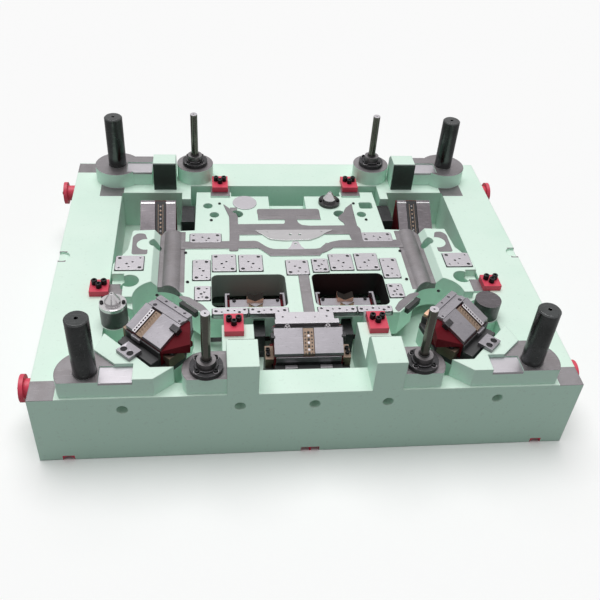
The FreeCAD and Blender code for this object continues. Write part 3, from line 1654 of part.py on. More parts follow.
def inner_drivers():
    """Cast drivers inside the pad's windows, with plates, vee guides and end brackets."""
    corners = [
        ("0 - driver_front", "floor_height"),
        ("0 - driver_rear", "floor_height"),
        ("0 - driver_rear", "driver_low"),
        ("0 - driver_flat", "driver_top"),
        ("0 - driver_front", "driver_top"),
    ]
    left = end_prism(
        "inner_driver_left", corners, "driver_length", "0 - driver_x - driver_length / 2",
    )
    keep("inner_driver_left", left)
    keep("inner_driver_right", mirror("inner_driver_right", left))
    plate = span(
        "driver_plate",
        "0 - driver_x - driver_length / 2 + driver_plate_inset",
        "driver_length / 2 - driver_x - driver_plate_inset",
        "0 - driver_plate_front", "0 - driver_plate_rear",
        "driver_top", "driver_top + driver_plate_thickness",
    )
    vee_slot = block(
        "vee_slot", "vee_width + 2 * running_gap", "vee_depth", "vee_height",
        "0 - driver_x - vee_width / 2 - running_gap", "0 - driver_plate_rear - vee_depth / 2",
        "driver_top",
    )
    slotted = cut("driver_plate_slotted", plate, [vee_slot])
    keep("inner_driver_plates", group("inner_driver_plates", both_sides("driver_plate", [slotted])))
    top = "driver_top + vee_height"
    vee = side_prism("vee_block", [
        ("0 - vee_width / 2", "driver_top"),
        ("vee_width / 2", "driver_top"),
        ("vee_width / 2", top),
        ("0", top + " - vee_notch"),
        ("0 - vee_width / 2", top),
    ], "vee_depth", "0 - driver_x", "0 - driver_plate_rear")
    keep("inner_driver_vees", group("inner_driver_vees", both_sides("vee", [vee])))
    brackets = []
    for name, start, lip in (
        ("outer", "0 - driver_x - driver_length / 2 - bracket_thickness", "bracket_lip"),
        ("inner", "driver_length / 2 - driver_x", "0 - bracket_lip"),
    ):
        web = block(
            name + "_bracket_web", "bracket_thickness", "bracket_length", "bracket_height",
            start, "bracket_setback - driver_front", "driver_top - bracket_height / 2",
        )
        arm_start = start if name == "outer" else start + " - bracket_lip"
        arm = block(
            name + "_bracket_arm", "bracket_thickness + bracket_lip", "bracket_thickness",
            "bracket_height / 2", arm_start,
            "bracket_setback + bracket_length - driver_front - bracket_thickness", "driver_top",
        )
        brackets.append(fuse(name + "_bracket", [web, arm]))
    keep("inner_driver_brackets",
         group("inner_driver_brackets", both_sides("bracket", brackets)))


def rear_drivers():
    """Cast drivers in the rear pockets, sloping down towards the pad."""
    crest = "rear_driver_rear - rear_driver_ridge"
    corners = [
        ("rear_driver_front", "floor_height"),
        ("rear_driver_rear", "floor_height"),
        ("rear_driver_rear", "rear_driver_high"),
        (crest, "rear_driver_high"),
        ("rear_driver_front", "rear_driver_low"),
    ]
    start = "0 - rear_driver_x - rear_driver_length / 2"
    left = end_prism("rear_driver_left", corners, "rear_driver_length", start)
    keep("rear_driver_left", left)
    keep("rear_driver_right", mirror("rear_driver_right", left))
    sloped = [
        ("rear_driver_front", "rear_driver_low"),
        (crest, "rear_driver_high"),
        (crest, "rear_driver_high + wear_plate_thickness"),
        ("rear_driver_front", "rear_driver_low + wear_plate_thickness"),
    ]
    middle = "(0 - rear_driver_x + rear_strip_x)"
    strip_start = middle + " - rear_strip_width / 2"
    strip_end = middle + " + rear_strip_width / 2"
    first = end_prism(
        "rear_plate_outer", sloped, "%s - plate_gap - (%s)" % (strip_start, start), start,
    )
    second = end_prism(
        "rear_plate_inner", sloped,
        "rear_driver_length / 2 - rear_driver_x - plate_gap - (%s)" % strip_end,
        strip_end + " + plate_gap",
    )
    strip = end_prism("rear_strip", sloped, "rear_strip_width", strip_start, "0",
                      "strip_thickness - wear_plate_thickness")
    bed = end_prism("rear_strip_bed", corners, "rear_strip_width", strip_start)
    strip = cut("rear_strip_seated", strip, [bed])
    keep("rear_driver_plates",
         group("rear_driver_plates", both_sides("rear_plate", [first, second])))
    keep("rear_driver_strips", group("rear_driver_strips", both_sides("rear_strip", [strip])))
    keepers = []
    for name, x in (
        ("outer", start + " - rear_keeper_width"),
        ("inner", "rear_driver_length / 2 - rear_driver_x"),
    ):
        keepers.append(block(
            name + "_side_keeper", "rear_keeper_width", "rear_keeper_length", "rear_keeper_height",
            x, "rear_driver_front", "floor_height",
        ))
    keep("rear_driver_keepers",
         group("rear_driver_keepers", both_sides("side_keeper", keepers)))


def build():
    """Models every piece."""
    write_sheet()
    die_shoe()
    guide_posts()
    boss_plates()
    gas_springs()
    lifting_trunnions()
    heel_wear_plates()
    pad_keepers()
    pedestals()
    cone("locating_cone", "0 - pedestal_x", "0 - pedestal_y", "pedestal_top")
    pad_guides()
    pad_springs()
    pad()
    cone("pad_pilot_cone", "pilot_x", "pilot_y", "pad_top")
    cams()
    inner_drivers()
    rear_drivers()
    doc.recompute()


def check():
    """Stops on a failed object or on a piece that isn't a sound solid."""
    for thing in doc.Objects:
        if "Invalid" in thing.State or "Error" in thing.State:
            raise RuntimeError("%s failed: %s" % (thing.Name, thing.State))
    for name, thing in nodes.items():
        if thing.Shape.isNull() or not thing.Shape.isValid() or not thing.Shape.Solids:
            raise RuntimeError("%s is not a sound solid" % name)


def write_parts():
    """Writes each piece to its own file."""
    os.makedirs("parts", exist_ok=True)
    for name, thing in nodes.items():
        thing.Shape.exportStep("parts/%s.step" % name)
        box = thing.Shape.BoundBox
        print("%-26s solids %2d  X %7.1f %7.1f  Y %7.1f %7.1f  Z %6.1f %6.1f" % (
            name, len(thing.Shape.Solids), box.XMin, box.XMax, box.YMin, box.YMax,
            box.ZMin, box.ZMax))


build()
check()
write_parts()
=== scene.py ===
import math

import bmesh
import bpy
from mathutils import Matrix, Vector


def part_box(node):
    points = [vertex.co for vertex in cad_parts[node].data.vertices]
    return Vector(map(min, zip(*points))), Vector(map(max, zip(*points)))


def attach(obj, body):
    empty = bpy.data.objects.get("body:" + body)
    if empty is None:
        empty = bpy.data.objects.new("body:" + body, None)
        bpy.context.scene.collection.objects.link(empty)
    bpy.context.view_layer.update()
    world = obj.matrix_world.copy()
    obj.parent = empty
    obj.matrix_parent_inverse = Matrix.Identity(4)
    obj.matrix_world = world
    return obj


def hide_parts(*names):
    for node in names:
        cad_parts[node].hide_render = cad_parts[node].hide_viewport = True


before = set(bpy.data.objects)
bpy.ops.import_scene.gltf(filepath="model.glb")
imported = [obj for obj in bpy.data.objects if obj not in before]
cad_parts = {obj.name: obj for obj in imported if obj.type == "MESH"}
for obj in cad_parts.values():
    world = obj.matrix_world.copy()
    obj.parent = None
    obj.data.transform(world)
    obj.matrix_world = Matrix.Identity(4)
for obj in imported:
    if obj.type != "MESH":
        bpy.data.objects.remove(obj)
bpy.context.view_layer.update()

MM = 0.001

# Heights read from the frame: the seam between the shoe's two nodes, and machined faces.
SHOE_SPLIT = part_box("die_shoe")[0][2]
BOSS_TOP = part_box("spring_flanges")[0][2]
RIM_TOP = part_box("pad_keepers")[0][2]
PAD_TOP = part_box("pad_pilot_cone")[0][2]
BAND_TOP = PAD_TOP + 4 * MM

# Camera, measured from the photograph.
CAMERA_PLACE = (-0.400, -2.883, 2.565)
CAMERA_YAW = math.radians(8.62)
CAMERA_PITCH = math.radians(40.31)
CAMERA_ROLL = math.radians(4.69)
CAMERA_LENS = 46.0
SENSOR_WIDTH = 36

# Light and floor. Angles are in degrees.
WORLD_LIGHT = 0.24
SUN_LIGHT = 2.30
SUN_TILT = -12
SUN_LEAN = -4
SUN_SOFTNESS = 50
FLOOR_SIZE = 60
FLOOR_DROP = -0.001
FLOOR_GREY = (0.42, 0.42, 0.42, 1)
WHITE = (1, 1, 1, 1)

# Heights in millimetres: just above the pad's top, the top of its bands, and just above
# its side platforms.
PAD_FACE = 345.1
BAND_FACE = 349.6
PLATFORM_FACE = 383.1

# Backs of the sliding bodies in their own frames, in millimetres, with a small clearance.
CORNER_BACK = -80.3
FRONT_BACK = -65.3

# Angles in degrees at which edges are broken, shaded sharp or dissolved, and the distance
# in metres below which corners are merged.
CHAMFER_ANGLE = 40
SMOOTH_ANGLE = 35
FLAT_ANGLE = 1
MERGE_DISTANCE = 0.00005

MINT = (0.735, 0.905, 0.800, 1)
MINT_SHADE = (0.640, 0.840, 0.725, 1)
# Painted shade of the mint paint on upright faces.
MINT_SIDE_SHADE = (0.640, 0.905, 0.770, 1)
# Painted highlight along the castings' edges.
MINT_EDGE_HIGHLIGHT = (0.850, 0.960, 0.900, 1)
MINT_DUST = (0.420, 0.520, 0.460, 1)
# Painted shadow on the shoe's floor under the pad.
SHADOW_GREEN = (0.150, 0.205, 0.180, 1)
# Painted shade on the walls of the pad's windows.
SHADE_WALL_GREEN = (0.300, 0.390, 0.350, 1)
BARE_IRON = (0.205, 0.192, 0.200, 1)
IRON_STAIN = (0.135, 0.118, 0.120, 1)
IRON_MARKS = (0.310, 0.295, 0.305, 1)
IRON_SCRATCH = (0.340, 0.320, 0.330, 1)
GROUND_STEEL = (0.270, 0.255, 0.268, 1)
BRIGHT_STEEL = (0.500, 0.485, 0.495, 1)
DARK_STEEL = (0.040, 0.040, 0.042, 1)
OILED_STEEL = (0.070, 0.073, 0.074, 1)
BLACK_OXIDE = (0.012, 0.012, 0.013, 1)
# Painted shadow, black, under the pad and in its windows.
SHADOW_BLACK = (0.018, 0.018, 0.018, 1)
BLACKENED = (0.030, 0.030, 0.032, 1)
POLISHED = (0.720, 0.710, 0.720, 1)
BRONZE = (0.620, 0.380, 0.270, 1)
FRONT_BRONZE = (0.980, 0.640, 0.480, 1)
DULL_BRONZE = (0.190, 0.140, 0.110, 1)
SIGNAL_RED = (0.700, 0.052, 0.100, 1)
CAM_RED = (0.130, 0.006, 0.012, 1)
# Graphite black, also used as painted shade in holes and gaps.
GRAPHITE_AND_SHADE = (0.016, 0.016, 0.018, 1)


# Shader groups

def new_node(tree, kind, **inputs):
    """A node whose named input sockets get the given values."""
    node = tree.nodes.new(kind)
    for name, value in inputs.items():
        node.inputs[name.replace("_", " ")].default_value = value
    return node


def math_node(tree, operation, first, second=None, clamp=False):
    """A Math node fed by sockets or numbers, and its output."""
    node = tree.nodes.new("ShaderNodeMath")
    node.operation = operation
    node.use_clamp = clamp
    for index, source in enumerate((first, second)):
        if source is None:
            continue
        if isinstance(source, (int, float)):
            node.inputs[index].default_value = source
        else:
            tree.links.new(source, node.inputs[index])
    return node.outputs[0]


def ramp(tree, source, low, high):
    """A value that rises from 0 at low to 1 at high."""
    node = tree.nodes.new("ShaderNodeMapRange")
    node.inputs["From Min"].default_value = low
    node.inputs["From Max"].default_value = high
    tree.links.new(source, node.inputs["Value"])
    return node.outputs["Result"]


def mix_colour(tree, factor, first, second):
    """A Mix node for colours, fed by sockets or colours, and its output."""
    node = tree.nodes.new("ShaderNodeMix")
    node.data_type = "RGBA"
    slots = (node.inputs["Factor"], node.inputs[6], node.inputs[7])
    for slot, source in zip(slots, (factor, first, second)):
        if isinstance(source, (tuple, float, int)):
            slot.default_value = source
        else:
            tree.links.new(source, slot)
    return node.outputs[2]


def axes_of(tree, source):
    """X, Y and Z of a vector."""
    split = tree.nodes.new("ShaderNodeSeparateXYZ")
    tree.links.new(source, split.inputs[0])
    return split.outputs


def place_axes(tree):
    """Where the surface lies, in Object coordinates."""
    return axes_of(tree, tree.nodes.new("ShaderNodeTexCoord").outputs["Object"])


def facing_up(tree):
    """How far the surface faces up, from -1 to 1."""
    return axes_of(tree, tree.nodes.new("ShaderNodeNewGeometry").outputs["True Normal"])["Z"]


def group_with(name, numbers, outputs):
    """An empty shader group with number inputs and value outputs."""
    tree = bpy.data.node_groups.new(name, "ShaderNodeTree")
    for label, value in numbers.items():
        socket = tree.interface.new_socket(label, in_out="INPUT", socket_type="NodeSocketFloat")
        socket.default_value = value
    for label in outputs:
        tree.interface.new_socket(label, in_out="OUTPUT", socket_type="NodeSocketFloat")
    return tree, tree.nodes.new("NodeGroupInput"), tree.nodes.new("NodeGroupOutput")


def noise(tree, scale, detail, stretch=None):
    """A noise over Object coordinates. scale is a number or a socket."""
    place = tree.nodes.new("ShaderNodeTexCoord").outputs["Object"]
    if stretch:
        mapping = tree.nodes.new("ShaderNodeMapping")
        mapping.inputs["Scale"].default_value = stretch
        tree.links.new(place, mapping.inputs["Vector"])
        place = mapping.outputs["Vector"]
    texture = new_node(tree, "ShaderNodeTexNoise", Detail=detail)
    tree.links.new(place, texture.inputs["Vector"])
    if isinstance(scale, (int, float)):
        texture.inputs["Scale"].default_value = scale
    else:
        tree.links.new(scale, texture.inputs["Scale"])
    return texture.outputs["Fac"]


def make_grime_group():
    """Cloudy stains, small specks and a rough height, for every worn surface."""
    tree, given, out = group_with(
        "grime", {"Cloud Size": 6.0, "Speck Size": 90.0, "Amount": 0.5},
        ("Stain", "Specks", "Height"),
    )
    cloud = noise(tree, given.outputs["Cloud Size"], 6.0)
    stain = ramp(tree, cloud, 0.42, 0.72)
    stain = math_node(tree, "MULTIPLY", stain, given.outputs["Amount"], clamp=True)
    tree.links.new(stain, out.inputs["Stain"])
    speck = noise(tree, given.outputs["Speck Size"], 3.0)
    speck = ramp(tree, speck, 0.62, 0.70)
    speck = math_node(tree, "MULTIPLY", speck, given.outputs["Amount"], clamp=True)
    tree.links.new(speck, out.inputs["Specks"])
    swell = math_node(tree, "MULTIPLY", cloud, 2.0)
    height = math_node(tree, "ADD", noise(tree, 340.0, 2.0), swell)
    tree.links.new(height, out.inputs["Height"])
    return tree


def make_tooling_group():
    """Fine parallel cutter marks and scattered scratches of a machined face."""
    tree, given, out = group_with(
        "tooling_marks", {"Pitch": 900.0, "Strength": 0.5}, ("Marks", "Scratches", "Height"),
    )
    place = tree.nodes.new("ShaderNodeTexCoord").outputs["Object"]
    wave = new_node(tree, "ShaderNodeTexWave", Distortion=1.2, Detail=2.0)
    wave.bands_direction = "X"
    tree.links.new(place, wave.inputs["Vector"])
    tree.links.new(given.outputs["Pitch"], wave.inputs["Scale"])
    uneven = noise(tree, 9.0, 4.0)
    marks = math_node(tree, "MULTIPLY", wave.outputs["Fac"], uneven)
    marks = math_node(tree, "MULTIPLY", marks, given.outputs["Strength"], clamp=True)
    tree.links.new(marks, out.inputs["Marks"])
    scratch = noise(tree, 30.0, 4.0, stretch=(0.7, 14.0, 3.0))
    scratch = ramp(tree, scratch, 0.60, 0.68)
    scratch = math_node(tree, "MULTIPLY", scratch, given.outputs["Strength"], clamp=True)
    tree.links.new(scratch, out.inputs["Scratches"])
    height = math_node(tree, "ADD", marks, math_node(tree, "MULTIPLY", scratch, 2.0))
    tree.links.new(height, out.inputs["Height"])
    return tree


def make_slice_group():
    """1 on surfaces that face up within a small range of height, else 0."""
    tree, given, out = group_with(
        "height_slice", {"Height": 0.355, "Half Range": 0.001}, ("Mask",),
    )
    away = math_node(tree, "SUBTRACT", place_axes(tree)["Z"], given.outputs["Height"])
    away = math_node(tree, "ABSOLUTE", away)
    near = math_node(tree, "LESS_THAN", away, given.outputs["Half Range"])
    upward = math_node(tree, "GREATER_THAN", facing_up(tree), 0.8)
    tree.links.new(math_node(tree, "MULTIPLY", near, upward), out.inputs["Mask"])
    return tree


def make_zone_group():
    """1 inside a box given by its middle and half sizes, else 0."""
    tree, given, out = group_with(
        "zone", {"Middle X": 0.0, "Middle Y": 0.0, "Middle Z": 0.0,
                 "Half X": 0.1, "Half Y": 0.1, "Half Z": 0.1}, ("Mask",),
    )
    place = place_axes(tree)
    mask = None
    for axis in "XYZ":
        away = math_node(tree, "SUBTRACT", place[axis], given.outputs["Middle " + axis])
        inside = math_node(tree, "LESS_THAN", math_node(tree, "ABSOLUTE", away),
                           given.outputs["Half " + axis])
        mask = inside if mask is None else math_node(tree, "MULTIPLY", mask, inside)
    tree.links.new(mask, out.inputs["Mask"])
    return tree


GRIME = make_grime_group()
TOOLING = make_tooling_group()
SLICE = make_slice_group()
ZONE = make_zone_group()


def place_group(tree, group, **values):
    """A shader group in a material, with its own values."""
    node = tree.nodes.new("ShaderNodeGroup")
    node.node_tree = group
    for name, value in values.items():
        node.inputs[name.replace("_", " ")].default_value = value
    return node


# Materials

def soft_radius(tree, radius):
    """A rounding that fades out where the shoe's casting is cut into two nodes."""
    away = math_node(tree, "SUBTRACT", place_axes(tree)["Z"], SHOE_SPLIT)
    away = math_node(tree, "ABSOLUTE", away)
    clear = math_node(tree, "GREATER_THAN", away, 2 * radius)
    return math_node(tree, "MULTIPLY", clear, radius)


def soft_edges(tree, radius):
    """A normal with rounded edges, and a mask of where the edges are."""
    bevel = tree.nodes.new("ShaderNodeBevel")
    bevel.samples = 4
    if isinstance(radius, float):
        bevel.inputs["Radius"].default_value = radius
    else:
        tree.links.new(radius, bevel.inputs["Radius"])
    dot = tree.nodes.new("ShaderNodeVectorMath")
    dot.operation = "DOT_PRODUCT"
    tree.links.new(bevel.outputs["Normal"], dot.inputs[0])
    tree.links.new(tree.nodes.new("ShaderNodeNewGeometry").outputs["Normal"], dot.inputs[1])
    edge = ramp(tree, dot.outputs["Value"], 0.985, 0.90)
    return bevel.outputs["Normal"], edge


def new_material(name):
    """A material with an empty Principled shader."""
    material = bpy.data.materials.new(name)
    material.use_nodes = True
    tree = material.node_tree
    return material, tree, tree.nodes["Principled BSDF"]


def bump(tree, height, strength, distance, normal=None):
    """A Bump node, and its output."""
    node = new_node(tree, "ShaderNodeBump", Strength=strength, Distance=distance)
    tree.links.new(height, node.inputs["Height"])
    if normal:
        tree.links.new(normal, node.inputs["Normal"])
    return node.outputs["Normal"]


def groove_mask(tree):
    """1 on the faces of the bronze guides that face upwards, which are darker, 0 on their fronts.
    """
    return math_node(tree, "GREATER_THAN", facing_up(tree), 0.2)


def flange_mask(tree):
    """1 on the low flange of the pilot cone, 0 on the cone."""
    return math_node(tree, "LESS_THAN", place_axes(tree)["Z"], PAD_TOP + 16.5 * MM)


def metal_finish(name, colour, roughness, worn, pitch=900.0, marks=0.5, metallic=1.0,
                 edge_radius=0.0012, stain=None, stain_amount=0.5, dim=None):
    """Bare metal with cutter marks, stains and brighter edges.

    dim is an optional second colour and the mask function of where it lies.
    """
    material, tree, shader = new_material(name)
    tooling = place_group(tree, TOOLING, Pitch=pitch, Strength=marks)
    grime = place_group(tree, GRIME, Cloud_Size=7.0, Speck_Size=160.0, Amount=stain_amount)
    normal, edge = soft_edges(tree, edge_radius)
    dark = stain or tuple(0.55 * part for part in colour[:3]) + (1,)
    shade = mix_colour(tree, grime.outputs["Stain"], colour, dark)
    shade = mix_colour(tree, tooling.outputs["Marks"], shade, worn)
    shade = mix_colour(tree, tooling.outputs["Scratches"], shade, worn)
    shade = mix_colour(tree, edge, shade, worn)
    shade = mix_colour(tree, grime.outputs["Specks"], shade, dark)
    if dim:
        shade = mix_colour(tree, dim[1](tree), shade, dim[0])
    tree.links.new(shade, shader.inputs["Base Color"])
    rough = math_node(tree, "MULTIPLY", grime.outputs["Stain"], 0.18)
    rough = math_node(tree, "ADD", rough, roughness)
    tree.links.new(rough, shader.inputs["Roughness"])
    tree.links.new(bump(tree, tooling.outputs["Height"], 0.25, 0.0003, normal),
                   shader.inputs["Normal"])
    shader.inputs["Metallic"].default_value = metallic
    return material


def paint_finish(name, colour, shade, roughness, edge_radius=0.003, gloss=0.5):
    """Brushed paint with dust, small chips and painted highlights along the edges."""
    material, tree, shader = new_material(name)
    shader.inputs["Specular IOR Level"].default_value = gloss
    grime = place_group(tree, GRIME, Cloud_Size=5.0, Speck_Size=120.0, Amount=0.5)
    normal, edge = soft_edges(tree, edge_radius)
    mixed = mix_colour(tree, grime.outputs["Stain"], colour, shade)
    # Painted highlight: a lighter paint colour along the edges.
    edge_highlight = tuple(min(1.0, 1.25 * part + 0.02) for part in colour[:3]) + (1,)
    mixed = mix_colour(tree, math_node(tree, "MULTIPLY", edge, 0.5), mixed, edge_highlight)
    dark = tuple(0.5 * part for part in colour[:3]) + (1,)
    chips = math_node(tree, "MULTIPLY", grime.outputs["Specks"], 0.5)
    mixed = mix_colour(tree, chips, mixed, dark)
    tree.links.new(mixed, shader.inputs["Base Color"])
    rough = math_node(tree, "MULTIPLY", grime.outputs["Stain"], 0.2)
    tree.links.new(math_node(tree, "ADD", rough, roughness), shader.inputs["Roughness"])
    tree.links.new(bump(tree, grime.outputs["Height"], 0.3, 0.0008, normal),
                   shader.inputs["Normal"])
    return material


def slice_mask(tree, heights):
    """1 on the upward faces at any of the heights."""
    mask = 0.0
    for height in heights:
        found = place_group(tree, SLICE, Height=height, Half_Range=0.0012).outputs["Mask"]
        mask = math_node(tree, "MAXIMUM", mask, found)
    return mask


def zone_mask(tree, middle, half):
    """1 inside one box of the die."""
    return place_group(
        tree, ZONE, Middle_X=middle[0], Middle_Y=middle[1], Middle_Z=middle[2],
        Half_X=half[0], Half_Y=half[1], Half_Z=half[2],
    ).outputs["Mask"]


def upright_mask(tree):
    """1 on upright faces, 0 on level ones, where the paint gets its painted shade."""
    return ramp(tree, math_node(tree, "ABSOLUTE", facing_up(tree)), 0.75, 0.25)


def casting_finish(name, bare_heights=(), bare_zones=(), red_zones=(), shade_and_dark_zones=()):
    """Mint paint over cast iron, with painted shade and highlights, bare where machined, red in
    clamp notches.
    """
    material, tree, shader = new_material(name)
    grime = place_group(tree, GRIME, Cloud_Size=3.0, Speck_Size=70.0, Amount=0.6)
    tooling = place_group(tree, TOOLING, Pitch=420.0, Strength=0.45)
    stains = place_group(tree, GRIME, Cloud_Size=11.0, Speck_Size=60.0, Amount=0.7)
    normal, edge = soft_edges(tree, soft_radius(tree, 0.006))

    paint = mix_colour(tree, grime.outputs["Stain"], MINT, MINT_SHADE)
    # Painted shade: upright faces turn a darker, greener mint.
    paint = mix_colour(tree, upright_mask(tree), paint, MINT_SIDE_SHADE)
    # Painted highlight: the paint turns a lighter mint along edges.
    paint = mix_colour(tree, math_node(tree, "MULTIPLY", edge, 0.35), paint, MINT_EDGE_HIGHLIGHT)
    dust = math_node(tree, "MULTIPLY", grime.outputs["Specks"], 0.25)
    paint = mix_colour(tree, dust, paint, MINT_DUST)

    iron = mix_colour(tree, stains.outputs["Stain"], BARE_IRON, IRON_STAIN)
    iron = mix_colour(tree, tooling.outputs["Marks"], iron, IRON_MARKS)
    iron = mix_colour(tree, tooling.outputs["Scratches"], iron, IRON_SCRATCH)

    bare = slice_mask(tree, bare_heights)
    for middle, half in bare_zones:
        bare = math_node(tree, "MAXIMUM", bare, zone_mask(tree, middle, half))
    colour = mix_colour(tree, bare, paint, iron)
    for middle, half in red_zones:
        colour = mix_colour(tree, zone_mask(tree, middle, half), colour, SIGNAL_RED)
    # Zones of other colours: painted shade where the shoe and the pad use them.
    for middle, half, dim in shade_and_dark_zones:
        colour = mix_colour(tree, zone_mask(tree, middle, half), colour, dim)
    tree.links.new(colour, shader.inputs["Base Color"])

    tree.links.new(math_node(tree, "MULTIPLY", bare, 0.75), shader.inputs["Metallic"])
    rough = math_node(tree, "MULTIPLY", grime.outputs["Stain"], 0.15)
    rough = math_node(tree, "ADD", rough, 0.42)
    tree.links.new(rough, shader.inputs["Roughness"])
    painted = math_node(tree, "SUBTRACT", 1.0, bare)
    rugged = math_node(tree, "MULTIPLY", grime.outputs["Height"], painted)
    machined = math_node(tree, "MULTIPLY", tooling.outputs["Height"], bare)
    rugged = math_node(tree, "ADD", rugged, machined)
    tree.links.new(bump(tree, rugged, 0.22, 0.0012, normal), shader.inputs["Normal"])
    return material


def front_marks():
    """Boxes round the clamp notches and key slots at the foot of the front."""
    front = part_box("shoe_underside")[0][1]
    marks = [((side * 0.985, front, 0.0), (0.024, 0.062, 0.0235)) for side in (-1, 1)]
    marks.append(((0.0, front, 0.0), (0.0385, 0.042, 0.0215)))
    return marks


def rim_patches():
    """Boxes round the machined patches on the shoe's rim."""
    patches = []
    for side in (-1, 1):
        patches.append(((side * 0.905, 0.597, RIM_TOP), (0.060, 0.058, 0.002)))
        patches.append(((side * 1.050, -0.815, RIM_TOP), (0.050, 0.052, 0.002)))
        patches.append(((side * 1.085, 0.028, RIM_TOP), (0.020, 0.040, 0.002)))
    patches.append(((-1.045, 0.815, RIM_TOP), (0.056, 0.046, 0.002)))
    return patches


SHOE_PAINT = casting_finish(
    "shoe_paint",
    bare_heights=(BOSS_TOP,),
    bare_zones=rim_patches(),
    red_zones=front_marks(),
    # Painted shadow on the shoe's floor under the pad: black below the front windows, dark green
    # further back.
    shade_and_dark_zones=[((0.0, -0.225, 0.150), (0.420, 0.125, 0.020), SHADOW_BLACK),
               ((0.0, 0.250, 0.150), (0.560, 0.330, 0.020), SHADOW_GREEN)],
)
PAD_PAINT = casting_finish(
    "pad_paint",
    bare_heights=(BAND_TOP, RIM_TOP - 0.3 * MM),
    bare_zones=[((side * 0.582, 0.0, PAD_TOP), (0.060, 0.232, 0.030)) for side in (-1, 1)],
    # Painted shade on the pad's faces below its top round the two front windows: dark green on
    # the left, black on the right.
    shade_and_dark_zones=[((-0.225, -0.215, 0.270), (0.190, 0.118, 0.0745), SHADE_WALL_GREEN),
               ((0.225, -0.215, 0.270), (0.190, 0.118, 0.0745), SHADOW_BLACK)],
)
CAM_BASE = casting_finish(
    "cam_base",
    shade_and_dark_zones=[((0.0, 0.0, 0.470), (1.100, 0.900, 0.085), BLACKENED),
               ((0.0, -0.560, 0.200), (0.300, 0.200, 0.140), BLACKENED)],
)
GROUND = metal_finish("ground_steel", GROUND_STEEL, 0.38, (0.46, 0.44, 0.455, 1))
PALE_PLATE = metal_finish("pale_plate", (0.240, 0.228, 0.246, 1), 0.42, (0.40, 0.385, 0.41, 1),
                          pitch=260.0, marks=0.35)
INSERT_STEEL = metal_finish("insert_steel", (0.430, 0.410, 0.435, 1), 0.36, (0.60, 0.58, 0.61, 1),
                            pitch=700.0, marks=0.35, stain_amount=0.3)
BAND_STEEL = metal_finish("band_steel", (0.185, 0.172, 0.180, 1), 0.40, (0.30, 0.285, 0.295, 1),
                          pitch=320.0, marks=0.45)
PALE_RAIL = metal_finish("pale_rail", (0.42, 0.40, 0.42, 1), 0.34, (0.56, 0.54, 0.56, 1),
                         pitch=900.0, marks=0.3, stain_amount=0.25)
BRIGHT = metal_finish("bright_steel", BRIGHT_STEEL, 0.20, POLISHED,
                      pitch=1400.0, marks=0.3, stain_amount=0.25)
DARK = metal_finish("dark_steel", DARK_STEEL, 0.45, (0.22, 0.21, 0.22, 1), marks=0.3)
POST = metal_finish("post_steel", OILED_STEEL, 0.20, (0.20, 0.205, 0.205, 1),
                    pitch=1800.0, marks=0.25, stain=(0.028, 0.030, 0.029, 1), stain_amount=0.8)
WORN_PLATE = metal_finish("worn_plate", (0.095, 0.085, 0.092, 1), 0.34, (0.22, 0.205, 0.215, 1),
                          pitch=180.0, marks=0.6, stain=(0.045, 0.040, 0.043, 1))
DUSTY_STEEL = metal_finish("dusty_steel", (0.150, 0.140, 0.145, 1), 0.42, (0.28, 0.27, 0.275, 1))
CHROME_ROD = metal_finish("rod_chrome", (0.125, 0.120, 0.105, 1), 0.16, (0.30, 0.29, 0.27, 1),
                          pitch=2400.0, marks=0.15, stain=(0.060, 0.055, 0.042, 1))
SCREW = metal_finish("black_screw", BLACK_OXIDE, 0.42, (0.10, 0.10, 0.105, 1), marks=0.2,
                     metallic=0.8, edge_radius=0.0008)
VEE_BRONZE = metal_finish("vee_bronze", FRONT_BRONZE, 0.40, (1.0, 0.72, 0.58, 1), marks=0.3,
                          dim=((0.020, 0.016, 0.014, 1), groove_mask))
PILOT_STEEL = metal_finish("pilot_steel", BRIGHT_STEEL, 0.20, POLISHED, marks=0.3,
                           dim=((0.060, 0.058, 0.060, 1), flange_mask))
HEEL_PLATE = metal_finish("heel_plate", (0.045, 0.062, 0.055, 1), 0.45, (0.12, 0.15, 0.14, 1),
                          marks=0.3, metallic=0.6)
BRONZE_FINISH = metal_finish("bronze", BRONZE, 0.40, (0.80, 0.60, 0.42, 1), marks=0.4)
OLD_BRONZE = metal_finish("old_bronze", DULL_BRONZE, 0.45, (0.36, 0.27, 0.20, 1), marks=0.4)
# Dark graphite for plugs and strips, also used as painted shade in holes and in the gaps round
# plates.
GRAPHITE_AND_SHADE_FINISH = metal_finish("graphite_and_shade", GRAPHITE_AND_SHADE, 0.55, (0.05, 0.05, 0.055, 1), marks=0.1,
                             metallic=0.3)
RED_PAINT = paint_finish("keeper_red", SIGNAL_RED, (0.52, 0.028, 0.060, 1), 0.38, 0.0015)
CAM_PAINT = paint_finish("cam_red", CAM_RED, (0.070, 0.004, 0.008, 1), 0.55, 0.002, gloss=0.12)
RUBBER = paint_finish("wiper_rubber", (0.02, 0.02, 0.02, 1), (0.035, 0.035, 0.035, 1), 0.6, 0.001)

